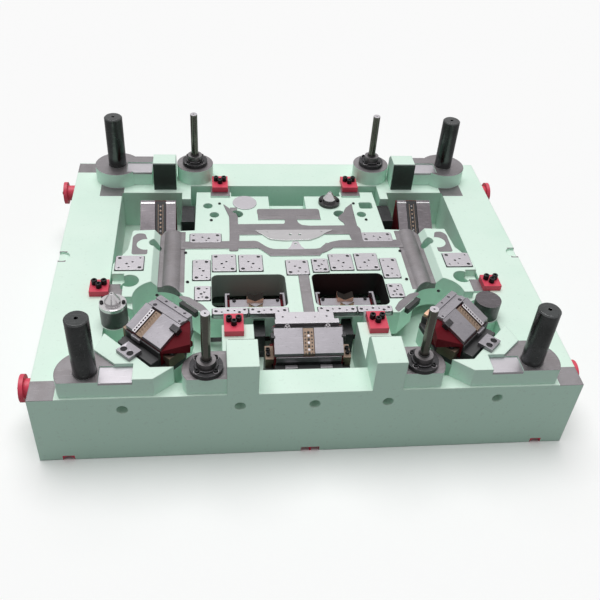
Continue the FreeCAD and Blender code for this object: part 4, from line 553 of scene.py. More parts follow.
NODE_FINISH = {
    "die_shoe": SHOE_PAINT,
    "shoe_underside": SHOE_PAINT,
    "pad": PAD_PAINT,
    "guide_posts": POST,
    "boss_rest_plates": INSERT_STEEL,
    "spring_cylinders": DUSTY_STEEL,
    "spring_flanges": DARK,
    "spring_flange_screws": SCREW,
    "lifting_trunnions": RED_PAINT,
    "heel_wear_plates": HEEL_PLATE,
    "pad_keepers": RED_PAINT,
    "keeper_screws": SCREW,
    "pedestals": WORN_PLATE,
    "locating_cone": BRIGHT,
    "pad_pilot_cone": PILOT_STEEL,
    "pad_guide_blocks": DARK,
    "pad_spring_cylinders": DARK,
    "pad_spring_rods": CHROME_ROD,
    "pad_insert_plates": INSERT_STEEL,
    "pad_front_strips": INSERT_STEEL,
    "pad_flange_bar": INSERT_STEEL,
    "cam_gibs": OLD_BRONZE,
    "cam_gib_screws": SCREW,
    "cam_return_rods": CHROME_ROD,
    "cam_keeper_blocks": PALE_PLATE,
    "cam_keeper_screws": SCREW,
    "inner_driver_left": CAM_PAINT,
    "inner_driver_right": CAM_PAINT,
    "inner_driver_plates": PALE_PLATE,
    "inner_driver_vees": VEE_BRONZE,
    "inner_driver_brackets": PALE_PLATE,
    "rear_driver_left": CAM_PAINT,
    "rear_driver_right": CAM_PAINT,
    "rear_driver_plates": WORN_PLATE,
    "rear_driver_strips": GRAPHITE_AND_SHADE_FINISH,
    "rear_driver_keepers": DARK,
}
CAM_FINISH = {
    "_base": CAM_BASE,
    "_slide": CAM_PAINT,
    "_wear_plates": PALE_PLATE,
    "_guide_strip": OLD_BRONZE,
    "_flange_steel": GROUND,
    "_return_cylinder": DARK,
}


def finish_of(name):
    """The finish of a CAD node."""
    if name in NODE_FINISH:
        return NODE_FINISH[name]
    if name.startswith("spring_rod_"):
        return CHROME_ROD
    for ending, finish in CAM_FINISH.items():
        if name.endswith(ending):
            return finish
    return GROUND


def dress_nodes():
    """Gives every CAD node its finish."""
    for name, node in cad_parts.items():
        node.data.materials.clear()
        node.data.materials.append(finish_of(name))


# Stage, light and camera

def stage():
    """A plain pale floor under soft overhead light, and a white background."""
    bpy.ops.mesh.primitive_plane_add(size=FLOOR_SIZE, location=(0, 0, FLOOR_DROP))
    floor = bpy.context.object
    floor.name = "floor"
    material, tree, shader = new_material("floor_white")
    seen = tree.nodes.new("ShaderNodeLightPath").outputs["Is Camera Ray"]
    shade = mix_colour(tree, seen, FLOOR_GREY, WHITE)
    tree.links.new(shade, shader.inputs["Base Color"])
    shader.inputs["Roughness"].default_value = 0.9
    shader.inputs["Specular IOR Level"].default_value = 0.0
    floor.data.materials.append(material)

    world = bpy.data.worlds.new("studio")
    bpy.context.scene.world = world
    world.use_nodes = True
    tree = world.node_tree
    background = tree.nodes["Background"]
    background.inputs["Color"].default_value = WHITE
    light = tree.nodes.new("ShaderNodeLightPath").outputs
    seen = math_node(tree, "MAXIMUM", light["Is Camera Ray"], light["Is Glossy Ray"])
    seen = math_node(tree, "MAXIMUM", seen, light["Is Transmission Ray"])
    strength = math_node(tree, "MULTIPLY", seen, 1 - WORLD_LIGHT)
    strength = math_node(tree, "ADD", strength, WORLD_LIGHT)
    tree.links.new(strength, background.inputs["Strength"])


def lights():
    """One wide soft sun from above, a little from behind."""
    data = bpy.data.lights.new("hall_light", "SUN")
    data.energy = SUN_LIGHT
    data.angle = math.radians(SUN_SOFTNESS)
    sun = bpy.data.objects.new("hall_light", data)
    bpy.context.collection.objects.link(sun)
    sun.rotation_euler = (math.radians(SUN_TILT), math.radians(SUN_LEAN), 0)


def camera():
    """The camera at the photograph's place and angle."""
    data = bpy.data.cameras.new("camera")
    data.lens = CAMERA_LENS
    data.sensor_width = SENSOR_WIDTH
    view = bpy.data.objects.new("camera", data)
    bpy.context.collection.objects.link(view)
    ahead = Vector((
        math.sin(CAMERA_YAW) * math.cos(CAMERA_PITCH),
        math.cos(CAMERA_YAW) * math.cos(CAMERA_PITCH),
        -math.sin(CAMERA_PITCH),
    ))
    right = Vector((math.cos(CAMERA_YAW), -math.sin(CAMERA_YAW), 0))
    up = right.cross(ahead)
    turned_right = math.cos(CAMERA_ROLL) * right + math.sin(CAMERA_ROLL) * up
    turned_up = -math.sin(CAMERA_ROLL) * right + math.cos(CAMERA_ROLL) * up
    turn = Matrix((turned_right, turned_up, -ahead)).transposed()
    view.matrix_world = Matrix.Translation(CAMERA_PLACE) @ turn.to_4x4()
    bpy.context.scene.camera = view


# Modelling helpers

def mm(*values):
    """Millimetres as the scene's metres."""
    return tuple(value * MM for value in values)


def deselect():
    """Nothing stays selected."""
    bpy.ops.object.select_all(action="DESELECT")


def choose(piece):
    """Only this piece is selected and active."""
    deselect()
    piece.select_set(True)
    bpy.context.view_layer.objects.active = piece


def edit_all(piece):
    """Edit mode, with all of the piece selected."""
    choose(piece)
    bpy.ops.object.mode_set(mode="EDIT")
    bpy.ops.mesh.select_all(action="SELECT")


def face_outwards():
    """Turns the faces in edit mode outwards, and ends edit mode."""
    bpy.ops.mesh.normals_make_consistent(inside=False)
    bpy.ops.object.mode_set(mode="OBJECT")


def twin_of(piece):
    """A copy of a piece with its own mesh."""
    twin = piece.copy()
    twin.data = piece.data.copy()
    bpy.context.collection.objects.link(twin)
    return twin


def settle(piece):
    """Moves the piece's place into its mesh."""
    choose(piece)
    bpy.ops.object.transform_apply(location=True, rotation=True, scale=True)


def add_modifier(piece, kind, **settings):
    """A modifier with its settings, applied at once."""
    choose(piece)
    modifier = piece.modifiers.new(kind.lower(), kind)
    for name, value in settings.items():
        setattr(modifier, name, value)
    bpy.ops.object.modifier_apply(modifier=modifier.name)


def chamfer(piece, width):
    """Breaks the sharp edges of a piece."""
    add_modifier(piece, "BEVEL", width=width, segments=1, limit_method="ANGLE",
                 angle_limit=math.radians(CHAMFER_ANGLE))


def rod(name, radius, low, high, sides=24):
    """An upright cylinder between two heights at the origin."""
    deselect()
    bpy.ops.mesh.primitive_cylinder_add(
        vertices=sides, radius=radius, depth=high - low, location=(0, 0, (low + high) / 2),
    )
    piece = bpy.context.object
    piece.name = name
    settle(piece)
    return piece


def slab(name, low, high):
    """A box between two corners."""
    deselect()
    middle = [(a + b) / 2 for a, b in zip(low, high)]
    bpy.ops.mesh.primitive_cube_add(size=1, location=middle)
    piece = bpy.context.object
    piece.name = name
    piece.scale = [b - a for a, b in zip(low, high)]
    settle(piece)
    return piece


def subtract(piece, tools):
    """Takes every tool away from the piece, and deletes the tools."""
    tool = join(tools, "tool") if len(tools) > 1 else tools[0]
    add_modifier(piece, "BOOLEAN", object=tool, operation="DIFFERENCE", solver="EXACT")
    bpy.data.objects.remove(tool)


def join(pieces, name):
    """Several pieces made one object."""
    choose(pieces[0])
    for piece in pieces[1:]:
        piece.select_set(True)
    bpy.ops.object.join()
    pieces[0].name = name
    return pieces[0]


def copy_to(piece, places, name):
    """One copy at each place, joined. The model that is copied goes."""
    copies = []
    for place in places:
        twin = twin_of(piece)
        twin.matrix_world = Matrix.Translation(place)
        settle(twin)
        copies.append(twin)
    bpy.data.objects.remove(piece)
    return join(copies, name)


def hand_over(piece, finish, body, replaced=()):
    """Gives a finished piece its finish and its body."""
    choose(piece)
    bpy.ops.object.shade_smooth_by_angle(angle=math.radians(SMOOTH_ANGLE))
    piece.data.materials.clear()
    piece.data.materials.append(finish)
    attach(piece, body)
    if replaced:
        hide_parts(*replaced)
    return piece


def copy_of(node_name, name):
    """A clean copy of a CAD node's mesh, ready to be worked on."""
    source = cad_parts[node_name]
    piece = bpy.data.objects.new(name, source.data.copy())
    bpy.context.collection.objects.link(piece)
    edit_all(piece)
    bpy.ops.mesh.remove_doubles(threshold=MERGE_DISTANCE)
    bpy.ops.mesh.dissolve_limited(angle_limit=math.radians(FLAT_ANGLE))
    bpy.ops.object.mode_set(mode="OBJECT")
    return piece


def solids_of(piece):
    """Lowest and highest corners of each loose solid of a mesh."""
    mesh = bmesh.new()
    mesh.from_mesh(piece.data)
    mesh.verts.ensure_lookup_table()
    seen = set()
    boxes = []
    for start in mesh.verts:
        if start.index in seen:
            continue
        stack = [start]
        seen.add(start.index)
        corners = []
        while stack:
            vertex = stack.pop()
            corners.append(vertex.co.copy())
            for edge in vertex.link_edges:
                other = edge.other_vert(vertex)
                if other.index not in seen:
                    seen.add(other.index)
                    stack.append(other)
        low = Vector([min(c[i] for c in corners) for i in range(3)])
        high = Vector([max(c[i] for c in corners) for i in range(3)])
        boxes.append((low, high))
    mesh.free()
    return boxes


def boxes_of(node_name):
    """The box round each solid of a CAD node."""
    piece = copy_of(node_name, "measured")
    boxes = solids_of(piece)
    bpy.data.objects.remove(piece)
    return boxes


# Screws

def cap_screw(radius, head, height, shank):
    """A socket cap screw standing on the origin, with its shank below."""
    head_piece = rod("head", head, 0, height)
    chamfer(head_piece, 0.12 * head)
    socket = rod("socket", 0.55 * head, 0.45 * height, height + 0.01, sides=6)
    subtract(head_piece, [socket])
    shank_piece = rod("shank", radius, -shank, 0.0, sides=16)
    return join([head_piece, shank_piece], "screw")


def screws(node_name, name, shank, radius, share):
    """Socket cap screws in place of a node's plain ones, with heads a share as high."""
    boxes = boxes_of(node_name)
    first_low, first_high = boxes[0]
    head = (first_high[0] - first_low[0]) / 2
    height = first_high[2] - first_low[2] - shank
    model = cap_screw(radius, head, share * height, shank)
    places = [((low[0] + high[0]) / 2, (low[1] + high[1]) / 2, high[2] - height)
              for low, high in boxes]
    piece = copy_to(model, places, name)
    hand_over(piece, SCREW, "lower_die", [node_name])


def clamping_screws():
    """Cap screws of the keeper plates, the spring flanges and the gibs."""
    for node, name, shank, radius, share in (
        ("keeper_screws", "keeper_cap_screws", 28, 8, 0.72),
        ("spring_flange_screws", "flange_cap_screws", 20, 6, 1.0),
        ("cam_gib_screws", "gib_cap_screws", 50, 6, 1.0),
    ):
        screws(node, name, shank * MM, radius * MM, share)


def small_screws(name, places, body, radius=4, head=8, height=7):
    """Small cap screws at the given places, in millimetres."""
    model = cap_screw(radius * MM, head * MM, height * MM, 1 * MM)
    piece = copy_to(model, [mm(*place) for place in places], name)
    hand_over(piece, SCREW, body)


def block(name, low, high, edge=0.8):
    """A slab given in millimetres, with broken edges."""
    piece = slab(name, mm(*low), mm(*high))
    if edge:
        chamfer(piece, edge * MM)
    return piece


def drum(name, radius, low, high, place=(0, 0), edge=0.8, sides=32):
    """An upright round piece in millimetres, with broken edges."""
    piece = rod(name, radius * MM, low * MM, high * MM, sides)
    if edge:
        chamfer(piece, edge * MM)
    piece.location = mm(place[0], place[1], 0)
    settle(piece)
    return piece


def ring(name, outer, inner, low, high, place=(0, 0), edge=0.5):
    """An upright ring in millimetres."""
    piece = drum(name, outer, low, high, edge=0, sides=40)
    subtract(piece, [drum("bore", inner, low - 1, high + 1, edge=0, sides=40)])
    chamfer(piece, edge * MM)
    piece.location = mm(place[0], place[1], 0)
    settle(piece)
    return piece


def drill(piece, holes, low, high, sides=16):
    """Cuts upright holes, each an X, a Y and a radius in millimetres."""
    tools = [drum("drill", radius, low, high, (x, y), 0, sides) for x, y, radius in holes]
    subtract(piece, tools)


def outline_slab(name, corners, low, high, rounding=0):
    """A flat piece with the given outline, in millimetres, its upright edges rounded."""
    deselect()
    bpy.ops.mesh.primitive_circle_add(vertices=len(corners), radius=1, fill_type="NGON")
    piece = bpy.context.object
    piece.name = name
    for vertex, (x, y) in zip(piece.data.vertices, corners):
        vertex.co = mm(x, y, low)
    edit_all(piece)
    if rounding:
        bpy.ops.mesh.bevel(offset=rounding * MM, segments=6, affect="VERTICES")
        bpy.ops.mesh.select_all(action="SELECT")
    bpy.ops.mesh.extrude_region_move(TRANSFORM_OT_translate={"value": mm(0, 0, high - low)})
    bpy.ops.mesh.select_all(action="SELECT")
    face_outwards()
    return piece


def merge(pieces, name):
    """Several overlapping solids made one."""
    whole = pieces[0]
    for piece in pieces[1:]:
        add_modifier(whole, "BOOLEAN", object=piece, operation="UNION", solver="EXACT")
        bpy.data.objects.remove(piece)
    whole.name = name
    return whole


def bar(name, radius, start, end, sides=24, edge=0.8):
    """A round bar between two places in millimetres."""
    first = Vector(mm(*start))
    last = Vector(mm(*end))
    along = last - first
    piece = rod(name, radius * MM, 0, along.length, sides)
    if edge:
        chamfer(piece, edge * MM)
    turn = along.to_track_quat("Z", "Y").to_matrix().to_4x4()
    piece.matrix_world = Matrix.Translation(first) @ turn
    settle(piece)
    return piece


def laid(piece, frame_matrix):
    """Moves a piece from its own frame into the die."""
    piece.matrix_world = frame_matrix
    settle(piece)
    return piece


def mirrored(piece, name):
    """The same piece on the other side of the die."""
    twin = twin_of(piece)
    twin.name = name
    twin.matrix_world = Matrix.Scale(-1, 4, (1, 0, 0))
    settle(twin)
    edit_all(twin)
    face_outwards()
    return twin


def pair(piece, name, finish, body, replaced=()):
    """Hands over a left piece and its mirror image. A body's left becomes right."""
    twin = mirrored(piece, "right_" + name)
    piece.name = "left_" + name
    hand_over(piece, finish, body, replaced)
    right = [node.replace("left", "right") for node in replaced]
    hand_over(twin, finish, body.replace("left", "right"), right)


def both(piece, name, finish, body, replaced=()):
    """A left piece and its mirror image as one object."""
    twin = mirrored(piece, "twin")
    whole = join([piece, twin], name)
    return hand_over(whole, finish, body, replaced)


# Insert plates and strips

DEEP_SCREW = 5.8
SHALLOW_SCREW = 5.0
PLATE_CHAMFER = 0.7
PLATE_GROOVE = 2.6


def plan_of(low, high):
    """The edges of a box seen from above, in millimetres."""
    return [value / MM for value in (low[0], low[1], high[0], high[1])]


def plate_holes(low, high, number):
    """Screw and dowel holes of one insert plate, in millimetres."""
    x_low, y_low, x_high, y_high = plan_of(low, high)
    long_x = x_high - x_low
    long_y = y_high - y_low
    inset = 17
    flip = number % 2
    corners = [
        (x_low + inset, y_low + inset), (x_high - inset, y_high - inset),
        (x_high - inset, y_low + inset), (x_low + inset, y_high - inset),
    ]
    if flip:
        corners = corners[2:] + corners[:2]
    holes = [(x, y, 8.5) for x, y in corners[:2]]
    holes += [(x, y, 4.6) for x, y in corners[2:]]
    for across, along, radius in ((0.40, 0.56, 5.2), (0.60, 0.44, 6.2), (0.52, 0.22, 4.2)):
        across = 1 - across if flip else across
        holes.append((x_low + across * long_x, y_low + along * long_y, radius))
    return holes


def strip_holes(low, high, number):
    """Screw and dowel holes along one narrow strip, in millimetres."""
    x_low, y_low, x_high, y_high = plan_of(low, high)
    holes = []
    for share, height, radius in (
        (0.09, 0.70, 6.2), (0.24, 0.30, 6.8), (0.38, 0.55, 4.0),
        (0.56, 0.60, 5.6), (0.74, 0.35, 4.0), (0.90, 0.50, 7.4),
    ):
        share = 1 - share if number % 2 else share
        x = x_low + share * (x_high - x_low)
        y = y_low + height * (y_high - y_low)
        holes.append((x, y, radius))
    return holes


def sunk_screws(name, holes, foot, head):
    """Dark sunk screws that close holes, each given with its radius and its plate's top; they
    also stand as painted shade at the holes' bottoms.
    """
    plugs = [drum("plug", radius - 0.2, top - foot, top - head, (x, y), 0.3, 16)
             for x, y, radius, top in holes]
    hand_over(join(plugs, name), GRAPHITE_AND_SHADE_FINISH, "moving_pad")


def rounded_box(low, high, grow, bottom, top, rounding):
    """A flat piece over a box's plan, grown by a little all round."""
    x_low, y_low, x_high, y_high = plan_of(low, high)
    corners = ((x_low - grow, y_low - grow), (x_high + grow, y_low - grow),
               (x_high + grow, y_high + grow), (x_low - grow, y_high + grow))
    return outline_slab("plate", corners, bottom, top, rounding)


def bored_plates(node, name, finish, holes_of, rounding):
    """A node's plates with rounded corners, holes, sunk screws that also darken the holes, and a
    dark sheet of painted shadow in the gap round each.
    """
    plates = []
    gap_shades = []
    holes = []
    for number, (low, high) in enumerate(boxes_of(node)):
        top = high[2] / MM
        plate = rounded_box(low, high, 0, low[2] / MM, top, rounding)
        bores = holes_of(low, high, number)
        drill(plate, bores, top - 6, top + 5)
        chamfer(plate, PLATE_CHAMFER * MM)
        plates.append(plate)
        # Painted shadow: a dark sheet below the gap round each plate.
        gap_shades.append(rounded_box(low, high, PLATE_GROOVE, top - 5.9, top - 4.6, rounding + 2))
        for x, y, radius in bores:
            holes.append((x, y, radius, top))
    hand_over(join(plates, name), finish, "moving_pad", [node])
    hand_over(join(gap_shades, name + "_gap_shades"), GRAPHITE_AND_SHADE_FINISH, "moving_pad")
    sunk_screws(name + "_screws", holes, DEEP_SCREW, 2.2)


def pad_plates():
    """Insert plates, strips and the flange bar of the pad."""
    bored_plates("pad_insert_plates", "insert_plates", INSERT_STEEL, plate_holes, 10)
    bored_plates("pad_front_strips", "front_strips", INSERT_STEEL, strip_holes, 8)
    piece = copy_of("pad_flange_bar", "flange_bar")
    top = 358
    holes = [(-96, -420, 4.5), (96, -420, 4.5), (-40, -424, 3), (44, -424, 3)]
    drill(piece, holes, top - 10, top + 8)
    chamfer(piece, 1.0 * MM)
    hand_over(piece, INSERT_STEEL, "moving_pad", ["pad_flange_bar"])
    sunk_screws("flange_bar_screws", [hole + (top,) for hole in holes], SHALLOW_SCREW, 2.5)


# Cams

CAM_MIDDLE = {"front": (0, -565, 90), "left": (-611, -620, 45)}
CORNER_LOW = (-80, 481)
CORNER_SLOPE = math.atan2(49, 110)
FRONT_LOW = (-65, 322)
FRONT_SLOPE = math.atan2(58, 95)


def cam_frame(unit):
    """From a cam's own frame, in which it works along X, into the die."""
    x, y, angle = CAM_MIDDLE[unit]
    return Matrix.Translation(mm(x, y, 0)) @ Matrix.Rotation(math.radians(angle), 4, "Z")


def slope_frame(unit, low, angle):
    """From the slide's sloped top, X up the slope and Z away from it, into the die."""
    step = Matrix.Translation(mm(low[0], 0, low[1]))
    return cam_frame(unit) @ step @ Matrix.Rotation(-angle, 4, "Y")


def hub_frame():
    """From the pad's left corner pocket, X towards the pad's middle, into the die."""
    return Matrix.Translation(mm(-613, -466, 0)) @ Matrix.Rotation(math.radians(45), 4, "Z")


def corner_cams():
    """Slotted strips, rails, clips, bored steels, nose plates and rail feet of both corner cams.
    """
    slope = slope_frame("left", CORNER_LOW, CORNER_SLOPE)
    level = cam_frame("left")
    body = "left_cam_slider"

    strip = block("strip", (0, 5, 0), (120, 37, 12), 0)
    cuts = []
    for number in range(8):
        slot = block("slot", (-3.6, -10, 9), (3.6, 10, 20), 0)
        turn = Matrix.Rotation(math.radians(-30), 4, "Z")
        slot.matrix_world = Matrix.Translation(mm(12 + 13.6 * number, 21, 0)) @ turn
        settle(slot)
        cuts.append(slot)
    subtract(strip, cuts)
    chamfer(strip, 0.5 * MM)
    strip = laid(strip, slope)
    pair(strip, "slotted_strip", OLD_BRONZE, body, ["left_cam_guide_strip"])

    rail = block("rail", (2, 40, 0), (118, 59, 17), 0)
    drill(rail, [(10 + 12.5 * number, 49.5, 3.9) for number in range(9)], 6, 22)
    chamfer(rail, 0.6 * MM)
    pair(laid(rail, slope), "hole_rail", PALE_RAIL, body)

    clip = block("clip", (88, -108, 16.2), (114, -72, 26), 2)
    lip = block("lip", (88, -112, -16), (114, -98.6, 26), 2)
    pair(laid(merge([clip, lip], "clip"), slope), "clip", DARK, body)

    steel = copy_of("left_cam_flange_steel", "steel")
    holes = [(42, -78, 4.5), (88, -60, 5.5), (88, -8, 4.5), (88, 44, 5.5),
             (44, 62, 8), (60, 20, 3.5)]
    tools = [drum("drill", radius, 530, 560, (x, y), 0, 16) for x, y, radius in holes]
    tools.append(block("step", (56, -92, 542), (74, 92, 560), 0))
    for tool in tools:
        laid(tool, level)
    subtract(steel, tools)
    chamfer(steel, 1.0 * MM)
    pair(steel, "bored_steel", PALE_PLATE, body, ["left_cam_flange_steel"])

    nose = block("nose", (-88, -98, 408), (CORNER_BACK, 98, 478), 1.5)
    pair(laid(nose, level), "nose_plate", DARK, body)
    foot = block("foot", (-94, 8, 462), (CORNER_BACK, 58, 480), 1.5)
    pair(laid(foot, level), "rail_foot", PALE_PLATE, body)


def front_cam():
    """Plugs, bored steel, lift eyes and clips of the front cam."""
    slope = slope_frame("front", FRONT_LOW, FRONT_SLOPE)
    level = cam_frame("front")
    body = "front_cam_slider"

    dark_plugs = []
    bright_plugs = []
    for row in range(7):
        along = 10 + 15 * row
        for column in (-14, 14):
            dark_plugs.append(drum("plug", 3.2, 10, 13.2, (along, column), 0.3, 16))
        middle = drum("plug", 5.4, 10, 13.6, (along, 0), 0.3, 16)
        (bright_plugs if row % 2 else dark_plugs).append(middle)
    dark_row = laid(join(dark_plugs, "front_strip_dark_plugs"), slope)
    hand_over(dark_row, GRAPHITE_AND_SHADE_FINISH, body)
    bright_row = laid(join(bright_plugs, "front_strip_bright_plugs"), slope)
    hand_over(bright_row, INSERT_STEEL, body)

    steel = copy_of("front_cam_flange_steel", "front_bored_steel")
    step = laid(block("step", (20, -140, 378), (58, 140, 402), 0), level)
    subtract(steel, [step])
    chamfer(steel, 1.0 * MM)
    hand_over(steel, INSERT_STEEL, body, ["front_cam_flange_steel"])
    shelf = block("shelf", (30.5, -152, 380.2), (57.5, 152, 381.6), 0.4)
    hand_over(laid(shelf, level), DARK, body)

    eyes = []
    for side in (-1, 1):
        foot = block("foot", (36, side * 86 - 13, 381.8), (54, side * 86 + 13, 386), 1)
        eye = ring("eye", 10, 5.4, 386, 396, (45, side * 86))
        eyes += [foot, eye]
    hand_over(laid(join(eyes, "front_lift_eyes"), level), GROUND, body)

    cheeks = [block("cheek", (-8, side * 149 - 9, 346), (22, side * 149 + 9, 380), 2)
              for side in (-1, 1)]
    hand_over(laid(join(cheeks, "front_side_clips"), level), DARK, body)

    face = block("face", (-70, -137, 294), (FRONT_BACK, 137, 321), 1)
    hand_over(laid(face, level), PALE_PLATE, body)
    apron = block("apron", (-68, -138, 256), (FRONT_BACK, 138, 293.5), 1)
    hand_over(laid(apron, level), DARK, body)

    pads = [block("rest", (-92, side * 74 - 26, 275.2), (-72, side * 74 + 26, 281), 1)
            for side in (-1, 1)]
    hand_over(laid(join(pads, "front_base_pads"), level), PALE_RAIL, "lower_die")


def cam_hardware():
    """Keeper blocks, lug blocks and the bar in the pad's corner pockets."""
    piece = copy_of("cam_keeper_blocks", "keeper_blocks")
    chamfer(piece, 1.5 * MM)
    hand_over(piece, PALE_PLATE, "lower_die", ["cam_keeper_blocks"])

    level = cam_frame("left")
    guide = block("guide", (132, -20, 442.2), (152, 20, 458), 1.5)
    both(laid(guide, level), "lug_bronze_blocks", BRONZE_FINISH, "lower_die")
    pins = [bar("pin", 5, (116.5, side * 16, 430), (127, side * 16, 430)) for side in (-1, 1)]
    both(laid(join(pins, "pins"), level), "lug_black_pins", SCREW, "lower_die")

    wear = block("wear", (164, -34, 318), (186, 66, 347.5), 1.5)
    both(laid(wear, hub_frame()), "pocket_bars", RUBBER, "moving_pad")


# Posts, springs and round fittings

SPRINGS = ((-425, -797), (425, -797), (-477, 738), (477, 738))
SPRING_SCREW_REACH = 51 * math.sqrt(0.5)
CONE_SCREW_REACH = 45


def spring_fittings():
    """Collars, wipers and washers of the four gas springs."""
    collars = [ring("collar", 47, 38.2, 455.2, 463, place, 1.2) for place in SPRINGS]
    hand_over(join(collars, "spring_collars"), DARK, "lower_die")
    wipers = [ring("wiper", 23, 18.6, 487.2, 491, place, 0.8) for place in SPRINGS]
    hand_over(join(wipers, "spring_wipers"), RUBBER, "lower_die")
    washers = []
    for x, y in SPRINGS:
        for right, back in ((1, 1), (-1, 1), (-1, -1), (1, -1)):
            place = (x + right * SPRING_SCREW_REACH, y + back * SPRING_SCREW_REACH)
            washers.append(ring("washer", 12.5, 9.8, 455.1, 457.5, place, 0.4))
    hand_over(join(washers, "spring_washers"), GROUND, "lower_die")
    for label, place in zip(("front_left", "front_right", "rear_left", "rear_right"), SPRINGS):
        cap = ring("rod_end", 17.6, 4.2, 719.1, 720.6, place, 0.4)
        cap.name = label + "_rod_end"
        hand_over(cap, INSERT_STEEL, label + "_gas_rod")


def cone_screws():
    """Two screws on the flange of each pilot cone."""
    for name, (x, y, z), body in (
        ("locating_cone_screws", (-808, -422, 456), "lower_die"),
        ("pilot_cone_screws", (222, 487, 361), "moving_pad"),
    ):
        small_screws(name, [(x + side * CONE_SCREW_REACH, y, z) for side in (-1, 1)], body)


def trunnion_ends():
    """The dark end plates and screws on the trunnions' discs."""
    plates = []
    for y, z in ((-665, 215), (720, 258)):
        plates.append(bar("end_plate", 30, (-1173.1, y, z), (-1179, y, z), 32, 1.5))
        plates.append(bar("end_screw", 9, (-1179, y, z), (-1186, y, z), 6, 1.0))
    name = "trunnion_end_plates"
    both(join(plates, name), name, DARK, "lower_die")


# Cam drivers

REAR_SLOPE_LOW = (262, 250)
REAR_SLOPE = math.atan2(122, 184)


def driver_details():
    """Strips, diamonds and screws of the fixed cam drivers."""
    face = outline_slab("vee_face", (
        (-31, 306.5), (31, 306.5), (31, 337), (2, 318), (-2, 318), (-31, 337)), 0, 4)
    chamfer(face, 0.5 * MM)
    upright = Matrix.Translation(mm(-206, -304.2, 0)) @ Matrix.Rotation(math.radians(90), 4, "X")
    both(laid(face, upright), "vee_faces", VEE_BRONZE, "lower_die")
    rear = (Matrix.Translation(mm(-662, REAR_SLOPE_LOW[0], REAR_SLOPE_LOW[1]))
            @ Matrix.Rotation(math.radians(90), 4, "Z") @ Matrix.Rotation(-REAR_SLOPE, 4, "Y"))
    gems = []
    sockets = []
    for number in range(9):
        gem = drum("diamond", 6, 12, 14.2, edge=0.3, sides=4)
        gem.matrix_world = Matrix.Translation(mm(20 + 22 * number, -12, 0))
        settle(gem)
        (sockets if number % 3 == 2 else gems).append(gem)
    gems.append(block("line", (6, -25, 12), (208, -22.6, 13.4), 0.3))
    gems.append(block("line", (6, -1.4, 12), (208, 1, 13.4), 0.3))
    both(laid(join(gems, "gems"), rear), "rear_strip_diamonds", OLD_BRONZE, "lower_die")
    both(laid(join(sockets, "sockets"), rear), "rear_strip_sockets", DUSTY_STEEL,
         "lower_die")
    # Painted highlight: bright steel strips along the drivers' crests stand in for the light
    # caught by their top edges.
    crest = [block("crest", (212, -86, 8), (219, -38, 15.8), 0.8),
             block("crest", (212, 16, 8), (219, 86, 15.8), 0.8)]
    crest = laid(join(crest, "crest"), rear)
    both(crest, "rear_crest_highlights", BRIGHT, "lower_die")
    places = [(side * 772, y, 220) for side in (-1, 1) for y in (284, 322)]
    small_screws("rear_keeper_screws", places, "lower_die", 6, 10, 9)
    places = [(side * x, -250, 306) for side in (-1, 1) for x in (104, 300)]
    small_screws("inner_plate_screws", places, "lower_die", 5)


# Machined pieces on the pad

def pad_bands():
    """Machined bands across the pad's cast top."""
    low = PAD_FACE
    high = BAND_FACE
    cross_bar = outline_slab("cross_bar", (
        (-162, 426), (-162, 380), (-136, 364), (132, 364), (160, 380), (160, 426)), low, high, 14)
    stem = outline_slab("stem", (
        (-24, 380), (-26, 300), (-52, 268), (72, 268), (40, 300), (34, 380)), low, high, 12)
    rear_band = outline_slab("rear_band", (
        (-290, 290), (-290, 226), (-170, 224), (250, 228), (330, 228), (330, 276), (278, 276),
        (98, 274), (34, 286), (-22, 292)), low, high, 6)
    left_upright = outline_slab("left_upright", (
        (-334, 474), (-306, 360), (-308, 198), (-314, 70), (-270, 70), (-260, 190), (-265, 257),
        (-262, 356), (-272, 392), (-306, 436)), low, high, 10)
    right_upright = outline_slab("right_upright", (
        (342, 478), (300, 430), (284, 388), (250, 350), (262, 318), (274, 306), (282, 250),
        (300, 120), (352, 120), (352, 248), (326, 300), (338, 378)), low, high, 10)
    left_arm = outline_slab("left_arm", (
        (-536, 146), (-536, 100), (-180, 98), (-150, 66), (-110, 43), (118, 40), (160, 60),
        (200, 96), (536, 98), (536, 150), (236, 150), (180, 134), (140, 92), (112, 80),
        (-100, 80), (-130, 96), (-176, 149)), low, high, 16)
    whole = merge([rear_band, cross_bar, stem, left_upright, right_upright, left_arm], "bands")
    drill(whole, [(-264, 417, 30.3), (386, 400, 30.3)], 340, 360, 32)
    chamfer(whole, 0.5 * MM)
    hand_over(whole, BAND_STEEL, "moving_pad")


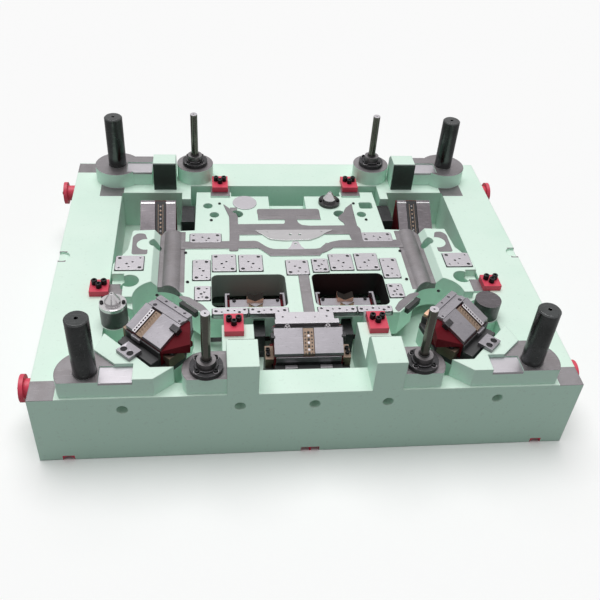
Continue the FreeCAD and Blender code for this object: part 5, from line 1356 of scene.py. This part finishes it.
def pad_patches():
    """Machined patches on the pad's side platforms and along its corner pockets."""
    elbow = outline_slab("elbow", (
        (-766, 2), (-694, 2), (-696, 112), (-712, 166), (-748, 168), (-768, 142)),
        PLATFORM_FACE, PLATFORM_FACE + 1.1, 12)
    drill(elbow, [(-704, 80, 43)], 380, 390, 40)
    both(elbow, "platform_patches", BAND_STEEL, "moving_pad")
    lip = outline_slab("lip", (
        (188, -78), (214, -70), (226, -20), (222, 60), (204, 96), (188, 96)),
        PAD_FACE, PAD_FACE + 1.5, 8)
    both(laid(lip, hub_frame()), "pocket_lips", BAND_STEEL, "moving_pad")


def pad_fittings():
    """Small screws, a polished insert, a machined disc and a tongue let into the pad's top."""
    places = [(side * x, y, 345) for side in (-1, 1)
              for x, y in ((508, -160), (520, 60), (640, -250), (396, 330), (352, 480))]
    small_screws("pad_small_screws", places, "moving_pad", head=7.5, height=5)
    wedge = outline_slab("centre_insert", (
        (-184, 236), (-148, 200), (-112, 160), (-44, 148), (86, 152), (132, 176), (176, 214),
        (214, 236)), PAD_FACE, PAD_FACE + 7.3, 10)
    drill(wedge, [(-8, 195, 7), (38, 195, 7), (-120, 220, 3.4), (150, 222, 3.4)], 340, 360)
    chamfer(wedge, 0.8 * MM)
    hand_over(wedge, BRIGHT, "moving_pad")
    disc = drum("machined_disc", 62, PAD_FACE, BAND_FACE, (-222, 487), 0.6, 48)
    hand_over(disc, INSERT_STEEL, "moving_pad")
    tongue = outline_slab("centre_tongue", (
        (-34, 76), (-16, 98), (-2, 140), (26, 140), (38, 98), (56, 76)),
        PAD_FACE, PAD_FACE + 5.3, 5)
    drill(tongue, [(12, 120, 7)], 340, 360)
    chamfer(tongue, 0.6 * MM)
    hand_over(tongue, INSERT_STEEL, "moving_pad")


dress_nodes()
stage()
lights()
camera()
clamping_screws()
pad_plates()
pad_bands()
pad_patches()
pad_fittings()
corner_cams()
front_cam()
cam_hardware()
spring_fittings()
cone_screws()
trunnion_ends()
driver_details()

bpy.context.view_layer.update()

scene = bpy.context.scene
scene.view_settings.view_transform = "Standard"
